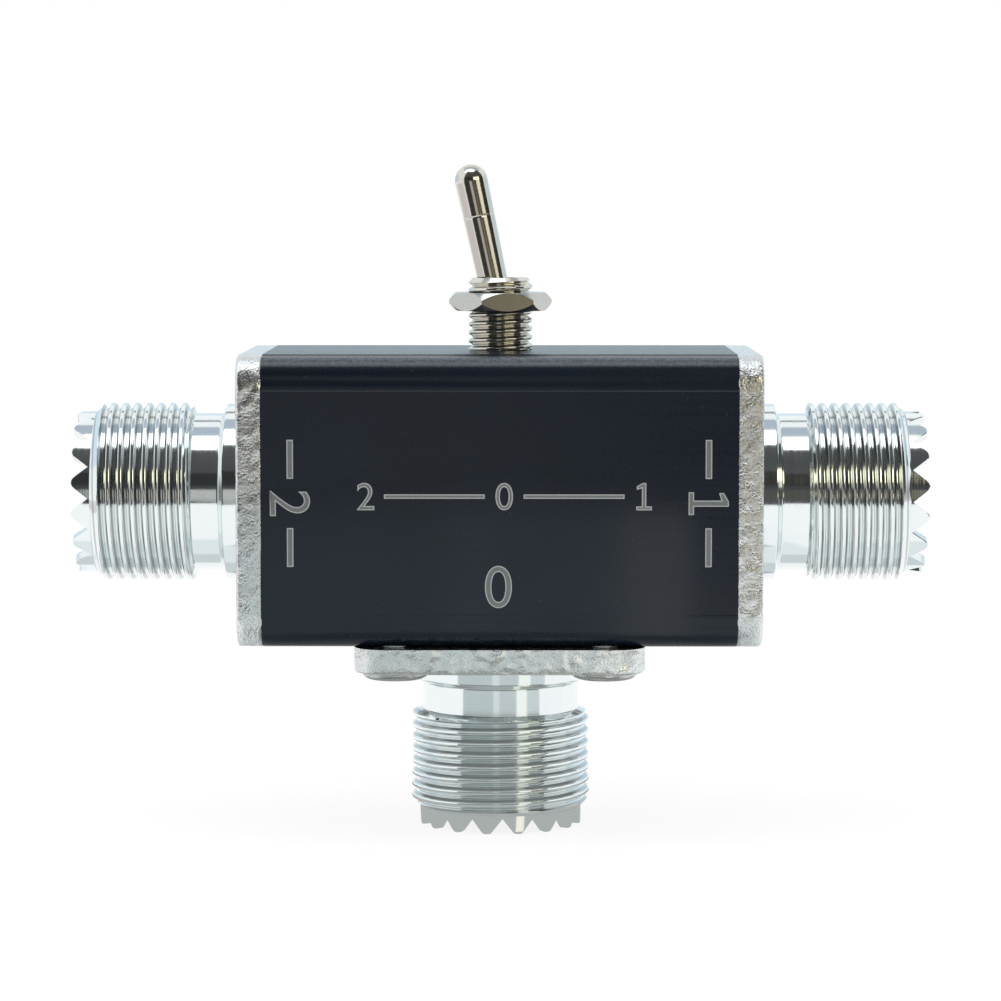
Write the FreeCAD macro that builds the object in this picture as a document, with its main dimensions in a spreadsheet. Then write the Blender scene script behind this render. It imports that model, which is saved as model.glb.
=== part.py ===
"""Two-way coaxial antenna switch: a square extrusion with three UHF sockets and a toggle.

Frame: +Z up, X along the extrusion, Y from front to back. The origin is on the axis of the
bottom socket, at the tips of its rim teeth, so the part stands on that rim.
"""
import FreeCAD, Part
import math
import os
import re
import Sketcher

V = FreeCAD.Vector

# ------------------------------------------------------------------ driving dimensions
SIZES = (
    # extruded housing
    ("box_length", 41.0, "length of the extrusion"),
    ("box_side", 25.4, "outer side of its square section, over the raised bands"),
    ("box_wall", 1.5, "wall thickness"),
    ("box_corner_radius", 1.8, "outer corner radius"),
    ("band_width", 19.8, "width of the raised band on each face"),
    ("band_proud", 0.15, "how far the band stands proud"),
    ("post_side", 4.2, "side of the inner corner posts, which take the screws"),
    # UHF socket, flange and barrel
    ("flange_thick", 2.2, "thickness of the square flange"),
    ("flange_corner_radius", 2.8, "corner radius of the flange"),
    ("socket_reach", 14.9, "barrel length in front of the flange"),
    ("collar_dia", 15.7, "collar at the root of the barrel"),
    ("collar_length", 1.6, "collar length"),
    ("neck_dia", 14.0, "neck behind the thread"),
    ("neck_length", 2.7, "neck length"),
    ("thread_dia", 15.875, "major diameter of the 5/8 inch coupling thread"),
    ("thread_length", 8.2, "thread length"),
    ("rim_dia", 14.4, "rim with the teeth"),
    ("tooth_count", 16, "teeth round the rim"),
    ("tooth_round", 0.6, "radius of each tooth's tip"),
    ("tooth_flank", 38.0, "slope of a tooth's flank from the barrel's axis, degrees"),
    ("left_tooth_turn", -0.5, "turn of the left socket's teeth about its barrel, degrees"),
    ("right_tooth_turn", 2.7, "the same for the right socket"),
    ("bottom_tooth_turn", -1.8, "the same for the bottom socket"),
    ("socket_bore", 12.65, "bore of the barrel"),
    ("shoulder_bore", 10.0, "opening in the rear shoulder"),
    ("shoulder_length", 1.2, "thickness of the rear shoulder"),
    # insulator, ring and centre contact
    ("insulator_recess", 9.4, "insulator face below the rim"),
    ("boss_reach", 2.4, "insulator boss behind the flange"),
    ("ring_thick", 0.7, "retaining ring thickness"),
    ("ring_bore", 10.8, "retaining ring bore"),
    ("contact_dia", 5.4, "outer diameter of the centre contact"),
    ("contact_bore", 4.0, "bore for the plug's pin"),
    ("contact_recess", 4.6, "contact tip below the rim"),
    ("contact_length", 9.8, "length of the wide part of the contact"),
    ("contact_bore_depth", 8.6, "depth of the pin bore"),
    ("slit_width", 0.5, "width of the contact's slits"),
    ("slit_length", 4.2, "length of the contact's slits"),
    ("stem_dia", 3.2, "contact stem through the insulator"),
    ("cup_reach", 8.0, "solder cup behind the flange"),
    ("cup_depth", 3.5, "depth of the solder cup"),
    # screws
    ("screw_dia", 3.0, "M3 screw"),
    ("screw_hole_dia", 3.3, "clearance hole in the flange"),
    ("screw_length", 6.0, "length of an end screw in its post"),
    ("sunk_head_dia", 5.6, "countersunk head"),
    ("pan_head_dia", 5.7, "low pan head"),
    ("pan_head_height", 1.0, "height of the pan head"),
    ("bottom_screw_length", 5.5, "length of a bottom screw in its post"),
    # toggle bushing, nut and lever
    ("bushing_dia", 5.7, "outer diameter of the threaded bushing"),
    ("bushing_height", 6.4, "bushing above the housing"),
    ("bushing_lip", 0.4, "chamfer at the top of the bushing"),
    ("bushing_base_dia", 7.0, "flange at the foot of the bushing"),
    ("bushing_base_thick", 1.0, "thickness of that flange"),
    ("nut_flats", 8.0, "nut, across flats"),
    ("nut_thick", 1.6, "nut thickness"),
    ("nut_drop", 1.3, "nut's top face below the bushing's top"),
    ("nut_turn", 9.35, "turn of the nut about the bushing, degrees"),
    ("nut_chamfer", 46.0, "slope of the nut's chamfers, degrees"),
    ("pivot_drop", 3.45, "lever pivot below the bushing's top"),
    ("ball_dia", 4.0, "lever ball"),
    ("ball_clearance", 0.06, "radial clearance round the ball"),
    ("mouth_dia", 4.6, "mouth of the bushing"),
    ("throat_dia", 5.0, "lower end of the bushing's bore"),
    ("pin_dia", 0.8, "pivot pin"),
    ("pin_length", 4.9, "pivot pin length"),
    ("pin_clearance", 0.03, "radial clearance round the pin"),
    ("lever_lean", 12.2, "lean of the lever from upright, degrees"),
    ("lever_length", 13.75, "lever from pivot to tip"),
    ("lever_neck_dia", 2.44, "lever where it leaves the bushing"),
    ("lever_tip_dia", 2.82, "lever near its tip"),
    ("tail_dia", 2.0, "tail below the ball"),
    ("tail_length", 6.9, "tail from pivot to its end"),
    ("tail_bore", 1.2, "bore for plunger and spring"),
    ("tail_bore_depth", 3.2, "depth of that bore"),
    ("plunger_clearance", 0.03, "radial clearance of plunger and spring"),
    ("plunger_length", 2.8, "plunger length"),
    ("plunger_reach", 1.3, "plunger beyond the end of the tail"),
    ("spring_wire", 0.2, "spring wire"),
    ("spring_turns", 4, "spring turns"),
    # switch body
    ("frame_width", 7.9, "stamped frame, across the housing"),
    ("frame_thick", 0.4, "sheet thickness of the frame"),
    ("frame_depth", 6.4, "depth of the frame's sides"),
    ("case_height", 8.0, "height of the moulded case"),
    ("case_wall", 0.8, "case wall"),
    ("case_floor", 2.0, "case floor"),
    ("case_margin", 0.1, "clearance between an outer terminal and the case wall"),
    ("terminal_pitch", 4.7, "terminal pitch"),
    ("terminal_width", 2.0, "terminal width"),
    ("terminal_thick", 0.8, "terminal thickness"),
    ("terminal_reach", 4.0, "terminal below the case"),
    ("terminal_head_width", 2.6, "contact head on an outer terminal"),
    ("terminal_head_thick", 0.6, "its thickness"),
    ("rocker_thick", 0.5, "sheet thickness of the rocker"),
    ("rocker_width", 2.6, "rocker width"),
    ("rocker_half", 5.1, "rocker half length"),
    ("rocker_bend", 14.0, "slope of each rocker wing, degrees"),
    ("rocker_tilt", 8.0, "tilt of the rocker from level, degrees"),
    ("rocker_bead_dia", 0.8, "bead under the rocker, on which it turns in the common terminal's cradle"),
    ("plunger_gap", 0.22, "plunger above the rocker, lever upright"),
    ("contact_gap", 0.08, "closed contact's clearance"),
    # wiring
    ("wire_dia", 1.6, "tinned copper link"),
)
ALIASES = [row[0] for row in SIZES]

doc = FreeCAD.newDocument("antenna_switch")
sheet = doc.addObject("Spreadsheet::Sheet", "sizes")
for row_number, (alias, value, meaning) in enumerate(SIZES, start=1):
    sheet.set(f"A{row_number}", alias)
    sheet.set(f"B{row_number}", str(value))
    sheet.set(f"C{row_number}", meaning)
    sheet.setAlias(f"B{row_number}", alias)
doc.recompute()

# heights that several pieces share, above the tips of the bottom socket's teeth
AXIS_Z = "(socket_reach + flange_thick + box_side/2)"
TOP_Z = f"({AXIS_Z} + box_side/2)"
PIVOT_Z = f"({TOP_Z} + bushing_height - pivot_drop)"

# the screws sit on the middle of the housing's corner posts, this far from its axis
SCREW_AT = "(box_side/2 - box_wall - post_side/2)"

# levels in the switch body, from the lever's pivot
WALL_IN = "(pivot_drop - bushing_height - box_wall)"
FRAME_IN = f"({WALL_IN} - frame_thick)"
CASE_TOP = f"({FRAME_IN} - bushing_base_thick)"
CASE_BOTTOM = f"({CASE_TOP} - case_height)"
CASE_LENGTH = "(2*terminal_pitch + terminal_width + 2*case_margin + 2*case_wall)"
PLUNGER_TIP = "(tail_length + plunger_reach)"
ROCKER_RISE = "(rocker_thick / cos(rocker_bend * 1 deg))"
ROCKER_LEVEL = f"(0 - {PLUNGER_TIP} - plunger_gap - {ROCKER_RISE})"
CLOSED_RISE = "((terminal_pitch - terminal_width/2) * tan((rocker_bend - rocker_tilt) * 1 deg))"


# ------------------------------------------------------------------ small modelling helpers
def bound(text):
    """An expression on the sheet: each alias in the text gets the sheet's name before it."""
    return re.sub(r"[a-z_]+", lambda word: f"sizes.{word[0]}" if word[0] in ALIASES else word[0], text)


def size(text):
    """The number that an expression on the sheet gives now."""
    value = sheet.evalExpression(bound(text))
    return float(getattr(value, "Value", value))


def new_body(label, x="0", y="0", z="0", axis=V(0, 0, 1), angle="0"):
    """A PartDesign body whose place and turn follow the sheet."""
    body = doc.addObject("PartDesign::Body", label)
    body.Label = label
    body.Placement = FreeCAD.Placement(V(0, 0, 0), FreeCAD.Rotation(axis, size(angle) or 360.0))
    for side, text in (("x", x), ("y", y), ("z", z)):
        body.setExpression(f"Placement.Base.{side}", bound(text))
    if size(angle):
        body.setExpression("Placement.Rotation.Angle", bound(f"({angle}) * 1 deg"))
    return body


def origin_feature(body, role):
    return next(item for item in body.Origin.OriginFeatures if item.Role == role)


def new_sketch(body, plane="XZ_Plane", lift="0", swing="0"):
    """A sketch on one of the body's own planes, lifted off it and swung about its own Y axis."""
    sketch = body.newObject("Sketcher::SketchObject", f"{body.Name}_sketch")
    sketch.AttachmentSupport = [(origin_feature(body, plane), "")]
    sketch.MapMode = "FlatFace"
    if lift != "0":
        sketch.setExpression("AttachmentOffset.Base.z", bound(lift))
    if swing != "0":
        sketch.AttachmentOffset = FreeCAD.Placement(V(0, 0, 0), FreeCAD.Rotation(V(0, 1, 0), size(swing)))
        sketch.setExpression("AttachmentOffset.Rotation.Angle", bound(f"({swing}) * 1 deg"))
    return sketch


def hold(sketch, geometry, vertex, x, y):
    """Tie one point of the sketch to coordinates from the sheet."""
    for kind, text, own_axis in (("DistanceX", x, -2), ("DistanceY", y, -1)):
        if text == "0":
            sketch.addConstraint(Sketcher.Constraint("PointOnObject", geometry, vertex, own_axis))
            continue
        number = sketch.addConstraint(Sketcher.Constraint(kind, -1, 1, geometry, vertex, size(text)))
        sketch.setExpression(f"Constraints[{number}]", bound(text))


def arc_between(start, end, radius, left):
    """The short arc from start to end; its centre lies left or right of the way."""
    middle = (start + end) * 0.5
    half = (end - start) * 0.5
    offset = math.sqrt(max(radius ** 2 - half.Length ** 2, 0.0)) / half.Length
    normal = V(-half.y, half.x, 0) * (1 if left else -1)
    centre = middle + normal * offset
    angle = [math.atan2(point.y - centre.y, point.x - centre.x) for point in (start, end)]
    if not left:
        angle.reverse()
    if angle[1] < angle[0]:
        angle[1] += 2 * math.pi
    return Part.ArcOfCircle(Part.Circle(centre, V(0, 0, 1), radius), angle[0], angle[1])


def outline(sketch, *corners):
    """A closed outline. A corner is (x, y), or (x, y, radius, side) where an arc follows it;
    side is left or right, where the arc's centre lies as one walks on."""
    points = [V(size(corner[0]), size(corner[1]), 0) for corner in corners]
    ends = []
    for index, corner in enumerate(corners):
        start, end = points[index], points[(index + 1) % len(points)]
        if len(corner) == 2:
            number = sketch.addGeometry(Part.LineSegment(start, end), False)
            ends.append((number, 1, 2))
            continue
        left = corner[3] == "left"
        number = sketch.addGeometry(arc_between(start, end, size(corner[2]), left), False)
        ends.append((number, 1, 2) if left else (number, 2, 1))
        radius = sketch.addConstraint(Sketcher.Constraint("Radius", number, size(corner[2])))
        sketch.setExpression(f"Constraints[{radius}]", bound(corner[2]))
    for index, (number, start, end) in enumerate(ends):
        following = ends[(index + 1) % len(ends)]
        sketch.addConstraint(Sketcher.Constraint("Coincident", number, end, following[0], following[1]))
        hold(sketch, number, start, corners[index][0], corners[index][1])
    return sketch


def rectangle(sketch, x0, y0, x1, y1):
    return outline(sketch, (x0, y0), (x1, y0), (x1, y1), (x0, y1))


def centred_rectangle(sketch, width, height):
    return rectangle(sketch, f"-({width})/2", f"-({height})/2", f"({width})/2", f"({height})/2")


def circle(sketch, diameter, x="0", y="0"):
    number = sketch.addGeometry(Part.Circle(V(size(x), size(y), 0), V(0, 0, 1), size(diameter) / 2), False)
    reach = sketch.addConstraint(Sketcher.Constraint("Diameter", number, size(diameter)))
    sketch.setExpression(f"Constraints[{reach}]", bound(diameter))
    hold(sketch, number, 3, x, y)
    return sketch


def shaped(body, feature):
    """Make the feature the body's last one and check that it changed the solid."""
    before = body.Shape.Volume if body.Shape.Solids else 0.0
    body.Tip = feature
    doc.recompute()
    if abs(body.Shape.Volume - before) < 1e-6:
        raise RuntimeError(f"{feature.Name} of {body.Label} changed nothing")
    return feature


def run(body, kind, sketch, length=None, symmetric=False, flip=False):
    """A Pad or a Pocket of the sketch; with no length it goes right through."""
    feature = body.newObject(f"PartDesign::{kind}", f"{body.Name}_{kind.lower()}")
    feature.Profile = sketch
    feature.Reversed = flip
    feature.Midplane = symmetric
    if length is None:
        feature.Type = "ThroughAll"
    else:
        feature.setExpression("Length", bound(length))
    return shaped(body, feature)


def turned(body, kind, sketch, axis="V_Axis"):
    """A Revolution or a Groove of the sketch about one of its axes."""
    feature = body.newObject(f"PartDesign::{kind}", f"{body.Name}_{kind.lower()}")
    feature.Profile = sketch
    feature.ReferenceAxis = (sketch, [axis])
    feature.Angle = 360.0
    return shaped(body, feature)


def ring_of(body, feature, count):
    """Repeat a feature round the body's Z axis."""
    pattern = body.newObject("PartDesign::PolarPattern", f"{body.Name}_pattern")
    pattern.Originals = [feature]
    pattern.Axis = (origin_feature(body, "Z_Axis"), [""])
    pattern.Angle = 360.0
    pattern.setExpression("Occurrences", bound(count))
    return shaped(body, pattern)


def eased(body, kind, amount, chosen):
    """A Fillet or a Chamfer on the edges of the last feature that the test chooses."""
    base = body.Tip
    names = [f"Edge{number}" for number, edge in enumerate(base.Shape.Edges, start=1) if chosen(edge)]
    feature = body.newObject(f"PartDesign::{kind}", f"{body.Name}_{kind.lower()}")
    feature.Base = (base, names)
    feature.setExpression("Radius" if kind == "Fillet" else "Size", bound(amount))
    return shaped(body, feature)


def runs_along(edge, direction):
    """True for a straight edge that is parallel to the direction."""
    if not isinstance(edge.Curve, Part.Line):
        return False
    return edge.Curve.Direction.cross(direction).Length < 1e-6


def off_axis_turn(body, kind, *corners):
    """A turned shape about the screw axis in one corner of the flange, once for each corner."""
    sketch = new_sketch(body, "XZ_Plane", lift=SCREW_AT)
    outline(sketch, *[(f"{SCREW_AT} + {radius}", level) for radius, level in corners])
    low, high = [V(size(SCREW_AT), size(f"{sign} flange_thick"), 0) for sign in ("0 -", "0 +")]
    line = sketch.addGeometry(Part.LineSegment(low, high), True)
    hold(sketch, line, 1, SCREW_AT, "0 - flange_thick")
    hold(sketch, line, 2, SCREW_AT, "flange_thick")
    ring_of(body, turned(body, kind, sketch, "Axis0"), "4")


# ------------------------------------------------------------------ where the sockets sit
# each socket is built with its flange's rear face on its own XY plane and its mouth towards +Z
SOCKETS = {
    "left": {"x": "0 - box_length/2", "z": AXIS_Z, "axis": V(0, 1, 0), "angle": "0 - 90"},
    "right": {"x": "box_length/2", "z": AXIS_Z, "axis": V(0, 1, 0), "angle": "90"},
    "bottom": {"x": "0", "z": f"{AXIS_Z} - box_side/2", "axis": V(1, 0, 0), "angle": "180"},
}
RIM = "(flange_thick + socket_reach)"


# ------------------------------------------------------------------ housing
def make_housing():
    """Square tube with a raised band on each face and corner posts that take the screws."""
    body = new_body("housing", z=AXIS_Z)
    core = "(box_side - 2*band_proud)"
    centred_rectangle(sketch := new_sketch(body, "YZ_Plane"), core, core)
    run(body, "Pad", sketch, "box_length", symmetric=True)
    eased(body, "Fillet", "box_corner_radius", lambda edge: runs_along(edge, V(1, 0, 0)))
    for width, height in (("band_width", "box_side"), ("box_side", "band_width")):
        centred_rectangle(sketch := new_sketch(body, "YZ_Plane"), width, height)
        run(body, "Pad", sketch, "box_length", symmetric=True)
    hollow = "(box_side - 2*box_wall)"
    clear = f"({hollow} - 2*post_side)"
    for width, height in ((hollow, clear), (clear, hollow)):
        centred_rectangle(sketch := new_sketch(body, "YZ_Plane"), width, height)
        run(body, "Pocket", sketch, "box_length", symmetric=True)

    # tapped holes for the end screws, both ends
    for end, flip in (("box_length/2", False), ("0 - box_length/2", True)):
        sketch = new_sketch(body, "YZ_Plane", lift=end)
        for side_y in ("", "0 - "):
            for side_z in ("", "0 - "):
                circle(sketch, "screw_dia", f"{side_y}{SCREW_AT}", f"{side_z}{SCREW_AT}")
        run(body, "Pocket", sketch, "screw_length", flip=flip)

    # bottom wall: opening for the insulator's boss and tapped holes for the bottom screws
    floor = "0 - box_side/2"
    sketch = circle(new_sketch(body, "XY_Plane", lift=floor), "shoulder_bore")
    run(body, "Pocket", sketch, "2*box_wall", flip=True)
    sketch = new_sketch(body, "XY_Plane", lift=floor)
    for side_x in ("", "0 - "):
        for side_y in ("", "0 - "):
            circle(sketch, "screw_dia", f"{side_x}{SCREW_AT}", f"{side_y}{SCREW_AT}")
    run(body, "Pocket", sketch, "bottom_screw_length", flip=True)

    # top wall: tapped hole for the toggle's bushing
    sketch = circle(new_sketch(body, "XY_Plane", lift="box_side/2"), "bushing_dia")
    run(body, "Pocket", sketch, "2*box_wall")
    return body


# ------------------------------------------------------------------ UHF sockets
def make_socket_shell(side, place):
    """Square flange, flush with the housing, and round barrel, bored, with a toothed rim."""
    body = new_body(f"{side}_socket_shell", **place)
    centred_rectangle(sketch := new_sketch(body, "XY_Plane"), "box_side", "box_side")
    run(body, "Pad", sketch, "flange_thick")
    eased(body, "Fillet", "flange_corner_radius", lambda edge: runs_along(edge, V(0, 0, 1)))

    # barrel: collar, neck, thread at its major diameter, chamfer and rim
    thread_start = "(flange_thick + collar_length + neck_length)"
    thread_end = f"({thread_start} + thread_length)"
    step = "((thread_dia - neck_dia)/2)"
    sketch = outline(
        new_sketch(body),
        ("socket_bore/2", "flange_thick/2"),
        ("collar_dia/2", "flange_thick/2"),
        ("collar_dia/2", "flange_thick + collar_length"),
        ("neck_dia/2", f"flange_thick + collar_length + (collar_dia - neck_dia)/4"),
        ("neck_dia/2", f"{thread_start} - {step}/2"),
        ("thread_dia/2", thread_start),
        ("thread_dia/2", thread_end),
        ("rim_dia/2", f"{thread_end} + (thread_dia - rim_dia)/2"),
        ("rim_dia/2", RIM),
        ("socket_bore/2", RIM),
    )
    turned(body, "Revolution", sketch)
    sketch = circle(new_sketch(body, "XY_Plane", lift="shoulder_length"), "socket_bore")
    run(body, "Pocket", sketch, RIM, flip=True)
    run(body, "Pocket", circle(new_sketch(body, "XY_Plane"), "shoulder_bore"), RIM, flip=True)

    # one notch between two round-tipped teeth, cut outwards and repeated round the rim
    half_pitch = "(pi * rim_dia / tooth_count / 2)"
    flank_top = f"({half_pitch} - tooth_round * cos(tooth_flank * 1 deg))"
    flank_drop = "(tooth_round * (1 - sin(tooth_flank * 1 deg)))"
    depth = f"({flank_drop} + {flank_top} / tan(tooth_flank * 1 deg))"
    sketch = outline(
        new_sketch(body, "YZ_Plane", swing=f"{side}_tooth_turn"),
        ("0", f"{RIM} - {depth}"),
        (f"0 - {flank_top}", f"{RIM} - {flank_drop}", "tooth_round", "left"),
        (f"0 - {half_pitch}", RIM),
        (f"0 - {half_pitch}", f"{RIM} + tooth_round"),
        (half_pitch, f"{RIM} + tooth_round"),
        (half_pitch, RIM, "tooth_round", "left"),
        (flank_top, f"{RIM} - {flank_drop}"),
    )
    ring_of(body, run(body, "Pocket", sketch, "rim_dia", flip=True), "tooth_count")

    if side == "bottom":
        sketch = circle(new_sketch(body, "XY_Plane"), "screw_hole_dia", SCREW_AT, SCREW_AT)
        ring_of(body, run(body, "Pocket", sketch, "flange_thick", flip=True), "4")
    else:
        cone = "(sunk_head_dia - screw_dia)/2"
        off_axis_turn(body, "Groove", ("0", "0"), ("screw_dia/2", "0"),
                      ("screw_dia/2", f"flange_thick - {cone}"), ("sunk_head_dia/2", "flange_thick"),
                      ("0", "flange_thick"))
    return body


def make_insulator(side, place):
    """Stepped insulator: full bore in front of the shoulder, boss through it."""
    body = new_body(f"{side}_socket_insulator", **place)
    face = f"({RIM} - insulator_recess)"
    contact_seat = f"({RIM} - contact_recess - contact_length)"
    sketch = outline(
        new_sketch(body),
        ("stem_dia/2", "0 - boss_reach"),
        ("shoulder_bore/2", "0 - boss_reach"),
        ("shoulder_bore/2", "shoulder_length"),
        ("socket_bore/2", "shoulder_length"),
        ("socket_bore/2", face),
        ("contact_dia/2", face),
        ("contact_dia/2", contact_seat),
        ("stem_dia/2", contact_seat),
    )
    turned(body, "Revolution", sketch)
    return body


def make_retaining_ring(side, place):
    """Flat ring pressed into the bore in front of the insulator."""
    body = new_body(f"{side}_socket_ring", **place)
    face = f"({RIM} - insulator_recess)"
    sketch = rectangle(new_sketch(body), "ring_bore/2", face, "socket_bore/2", f"{face} + ring_thick")
    turned(body, "Revolution", sketch)
    return body


def make_centre_contact(side, place):
    """Tube for the plug's pin with crossed slits, stem, and solder cup with a cut-away side."""
    body = new_body(f"{side}_centre_contact", **place)
    tip = f"({RIM} - contact_recess)"
    sketch = outline(
        new_sketch(body),
        ("0", "0 - cup_reach"),
        ("stem_dia/2", "0 - cup_reach"),
        ("stem_dia/2", f"{tip} - contact_length"),
        ("contact_dia/2", f"{tip} - contact_length"),
        ("contact_dia/2", f"{tip} - slit_width"),
        ("contact_dia/2 - slit_width", tip),
        ("0", tip),
    )
    turned(body, "Revolution", sketch)
    run(body, "Pocket", circle(new_sketch(body, "XY_Plane", lift=tip), "contact_bore"), "contact_bore_depth")
    for width, height in (("slit_width", "2*contact_dia"), ("2*contact_dia", "slit_width")):
        centred_rectangle(sketch := new_sketch(body, "XY_Plane", lift=tip), width, height)
        run(body, "Pocket", sketch, "slit_length")
    sketch = circle(new_sketch(body, "XY_Plane", lift="0 - cup_reach"), "wire_dia")
    run(body, "Pocket", sketch, "cup_depth", flip=True)
    sketch = new_sketch(body, "XY_Plane", lift="0 - cup_reach")
    rectangle(sketch, "0 - stem_dia", "wire_dia/4", "stem_dia", "stem_dia")
    run(body, "Pocket", sketch, "0.7*cup_depth", flip=True)
    return body


def make_screws(side, place):
    """Four screws: countersunk and flush in an end flange, pan heads under the bottom flange."""
    body = new_body(f"{side}_screws", **place)
    body.AllowCompound = True
    if side == "bottom":
        head_edge = "(pan_head_dia/2 - pan_head_height/2)"
        off_axis_turn(body, "Revolution", ("0", "0 - bottom_screw_length"),
                      ("screw_dia/2", "0 - bottom_screw_length"), ("screw_dia/2", "flange_thick"),
                      ("pan_head_dia/2", "flange_thick"),
                      ("pan_head_dia/2", "flange_thick + pan_head_height/2"),
                      (head_edge, "flange_thick + pan_head_height"),
                      ("0", "flange_thick + pan_head_height"))
    else:
        cone = "(sunk_head_dia - screw_dia)/2"
        off_axis_turn(body, "Revolution", ("0", "0 - screw_length"),
                      ("screw_dia/2", "0 - screw_length"), ("screw_dia/2", f"flange_thick - {cone}"),
                      ("sunk_head_dia/2", "flange_thick"), ("0", "flange_thick"))
    return body


# ------------------------------------------------------------------ toggle switch
def make_bushing():
    """Threaded bushing at its major diameter, with a socket for the ball and a flared bore."""
    body = new_body("toggle_bushing", z=PIVOT_Z)
    ball_bore = "(ball_dia/2 + ball_clearance)"
    sketch = outline(
        new_sketch(body),
        ("throat_dia/2", CASE_TOP),
        ("bushing_base_dia/2", CASE_TOP),
        ("bushing_base_dia/2", FRAME_IN),
        ("bushing_dia/2", FRAME_IN),
        ("bushing_dia/2", "pivot_drop - bushing_lip"),
        ("bushing_dia/2 - bushing_lip", "pivot_drop"),
        ("mouth_dia/2", "pivot_drop"),
        (ball_bore, "ball_dia/2"),
        (ball_bore, "0 - ball_dia/2"),
    )
    turned(body, "Revolution", sketch)
    run(body, "Pocket", circle(new_sketch(body), "pin_dia"), "pin_length", symmetric=True)
    return body


def make_pivot_pin():
    body = new_body("lever_pivot_pin", z=PIVOT_Z)
    run(body, "Pad", circle(new_sketch(body), "pin_dia"), "pin_length", symmetric=True)
    return body


def make_nut():
    """Hexagon nut, chamfered on both faces by a turned cut."""
    body = new_body("bushing_nut", z=f"{TOP_Z} + bushing_height - nut_drop - nut_thick", angle="nut_turn")
    corner = "(nut_flats / 2 / cos(30 deg))"
    points = []
    for step in range(6):
        points.append((f"{corner} * cos({60 * step} deg)", f"{corner} * sin({60 * step} deg)"))
    sketch = outline(new_sketch(body, "XY_Plane"), *points)
    run(body, "Pad", sketch, "nut_thick")
    drop = f"(({corner} - nut_flats/2) * tan(nut_chamfer * 1 deg))"
    for face, inward in (("0", drop), ("nut_thick", f"nut_thick - {drop}")):
        sketch = outline(new_sketch(body), ("nut_flats/2", face), (corner, inward), (f"2*{corner}", inward),
                         (f"2*{corner}", face))
        turned(body, "Groove", sketch)
    run(body, "Pocket", circle(new_sketch(body, "XY_Plane"), "bushing_dia"), "nut_thick", flip=True)
    return body


def lever_body(label):
    """A body on the lever's pivot, leaning to the left as the lever rests."""
    return new_body(label, z=PIVOT_Z, axis=V(0, 1, 0), angle="0 - lever_lean")


def make_lever():
    """Bat lever: round tip, slow taper, ball with a cross hole, and a bored tail."""
    body = lever_body("toggle_lever")
    ball = "ball_dia/2"
    sketch = outline(
        new_sketch(body),
        ("0", "0 - tail_length"),
        ("tail_dia/2", "0 - tail_length"),
        ("tail_dia/2", "0 - sqrt((ball_dia/2)^2 - (tail_dia/2)^2)", ball, "left"),
        ("lever_neck_dia/2", "sqrt((ball_dia/2)^2 - (lever_neck_dia/2)^2)"),
        ("lever_neck_dia/2", "pivot_drop"),
        ("lever_tip_dia/2", "lever_length - lever_tip_dia/2", "lever_tip_dia/2", "left"),
        ("0", "lever_length"),
    )
    turned(body, "Revolution", sketch)
    hole = "(pin_dia + 2*pin_clearance)"
    run(body, "Pocket", circle(new_sketch(body), hole), "2*ball_dia", symmetric=True)
    sketch = circle(new_sketch(body, "XY_Plane", lift="0 - tail_length"), "tail_bore")
    run(body, "Pocket", sketch, "tail_bore_depth", flip=True)
    return body


def make_plunger():
    """Round-ended plunger in the lever's tail."""
    body = lever_body("lever_plunger")
    radius = "(tail_bore/2 - plunger_clearance)"
    tip = f"(0 - {PLUNGER_TIP})"
    sketch = outline(
        new_sketch(body),
        ("0", tip, radius, "left"),
        (radius, f"{tip} + {radius}"),
        (radius, f"{tip} + plunger_length"),
        ("0", f"{tip} + plunger_length"),
    )
    turned(body, "Revolution", sketch)
    return body


def make_spring():
    """Compression spring of square wire between the bottom of the tail's bore and the plunger."""
    body = lever_body("lever_spring")
    low = f"(plunger_length - {PLUNGER_TIP})"
    height = f"(tail_bore_depth - tail_length - {low})"
    outside = "(tail_bore/2 - plunger_clearance)"
    sketch = rectangle(new_sketch(body), f"{outside} - spring_wire", low, outside, f"{low} + spring_wire")
    helix = body.newObject("PartDesign::AdditiveHelix", "lever_spring_helix")
    helix.Profile = sketch
    helix.ReferenceAxis = (sketch, ["V_Axis"])
    helix.Mode = "height-turns-angle"
    helix.setExpression("Height", bound(f"{height} - spring_wire"))
    helix.setExpression("Turns", bound("spring_turns"))
    shaped(body, helix)
    return body


def make_frame():
    """Folded steel frame over the case, pierced for the bushing."""
    body = new_body("switch_frame", z=PIVOT_Z)
    sketch = outline(
        new_sketch(body, "YZ_Plane"),
        ("0 - frame_width/2", WALL_IN),
        ("0 - frame_width/2", f"{WALL_IN} - frame_depth"),
        ("frame_thick - frame_width/2", f"{WALL_IN} - frame_depth"),
        ("frame_thick - frame_width/2", FRAME_IN),
        ("frame_width/2 - frame_thick", FRAME_IN),
        ("frame_width/2 - frame_thick", f"{WALL_IN} - frame_depth"),
        ("frame_width/2", f"{WALL_IN} - frame_depth"),
        ("frame_width/2", WALL_IN),
    )
    run(body, "Pad", sketch, CASE_LENGTH, symmetric=True)
    corner_y, corner_z = size("frame_width/2"), size(WALL_IN)
    eased(body, "Fillet", "frame_thick",
          lambda edge: runs_along(edge, V(1, 0, 0)) and abs(edge.CenterOfMass.z - corner_z) < 1e-6
          and abs(abs(edge.CenterOfMass.y) - corner_y) < 1e-6)
    run(body, "Pocket", circle(new_sketch(body, "XY_Plane", lift=WALL_IN), "bushing_dia"), "2*frame_thick")
    return body


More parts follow.
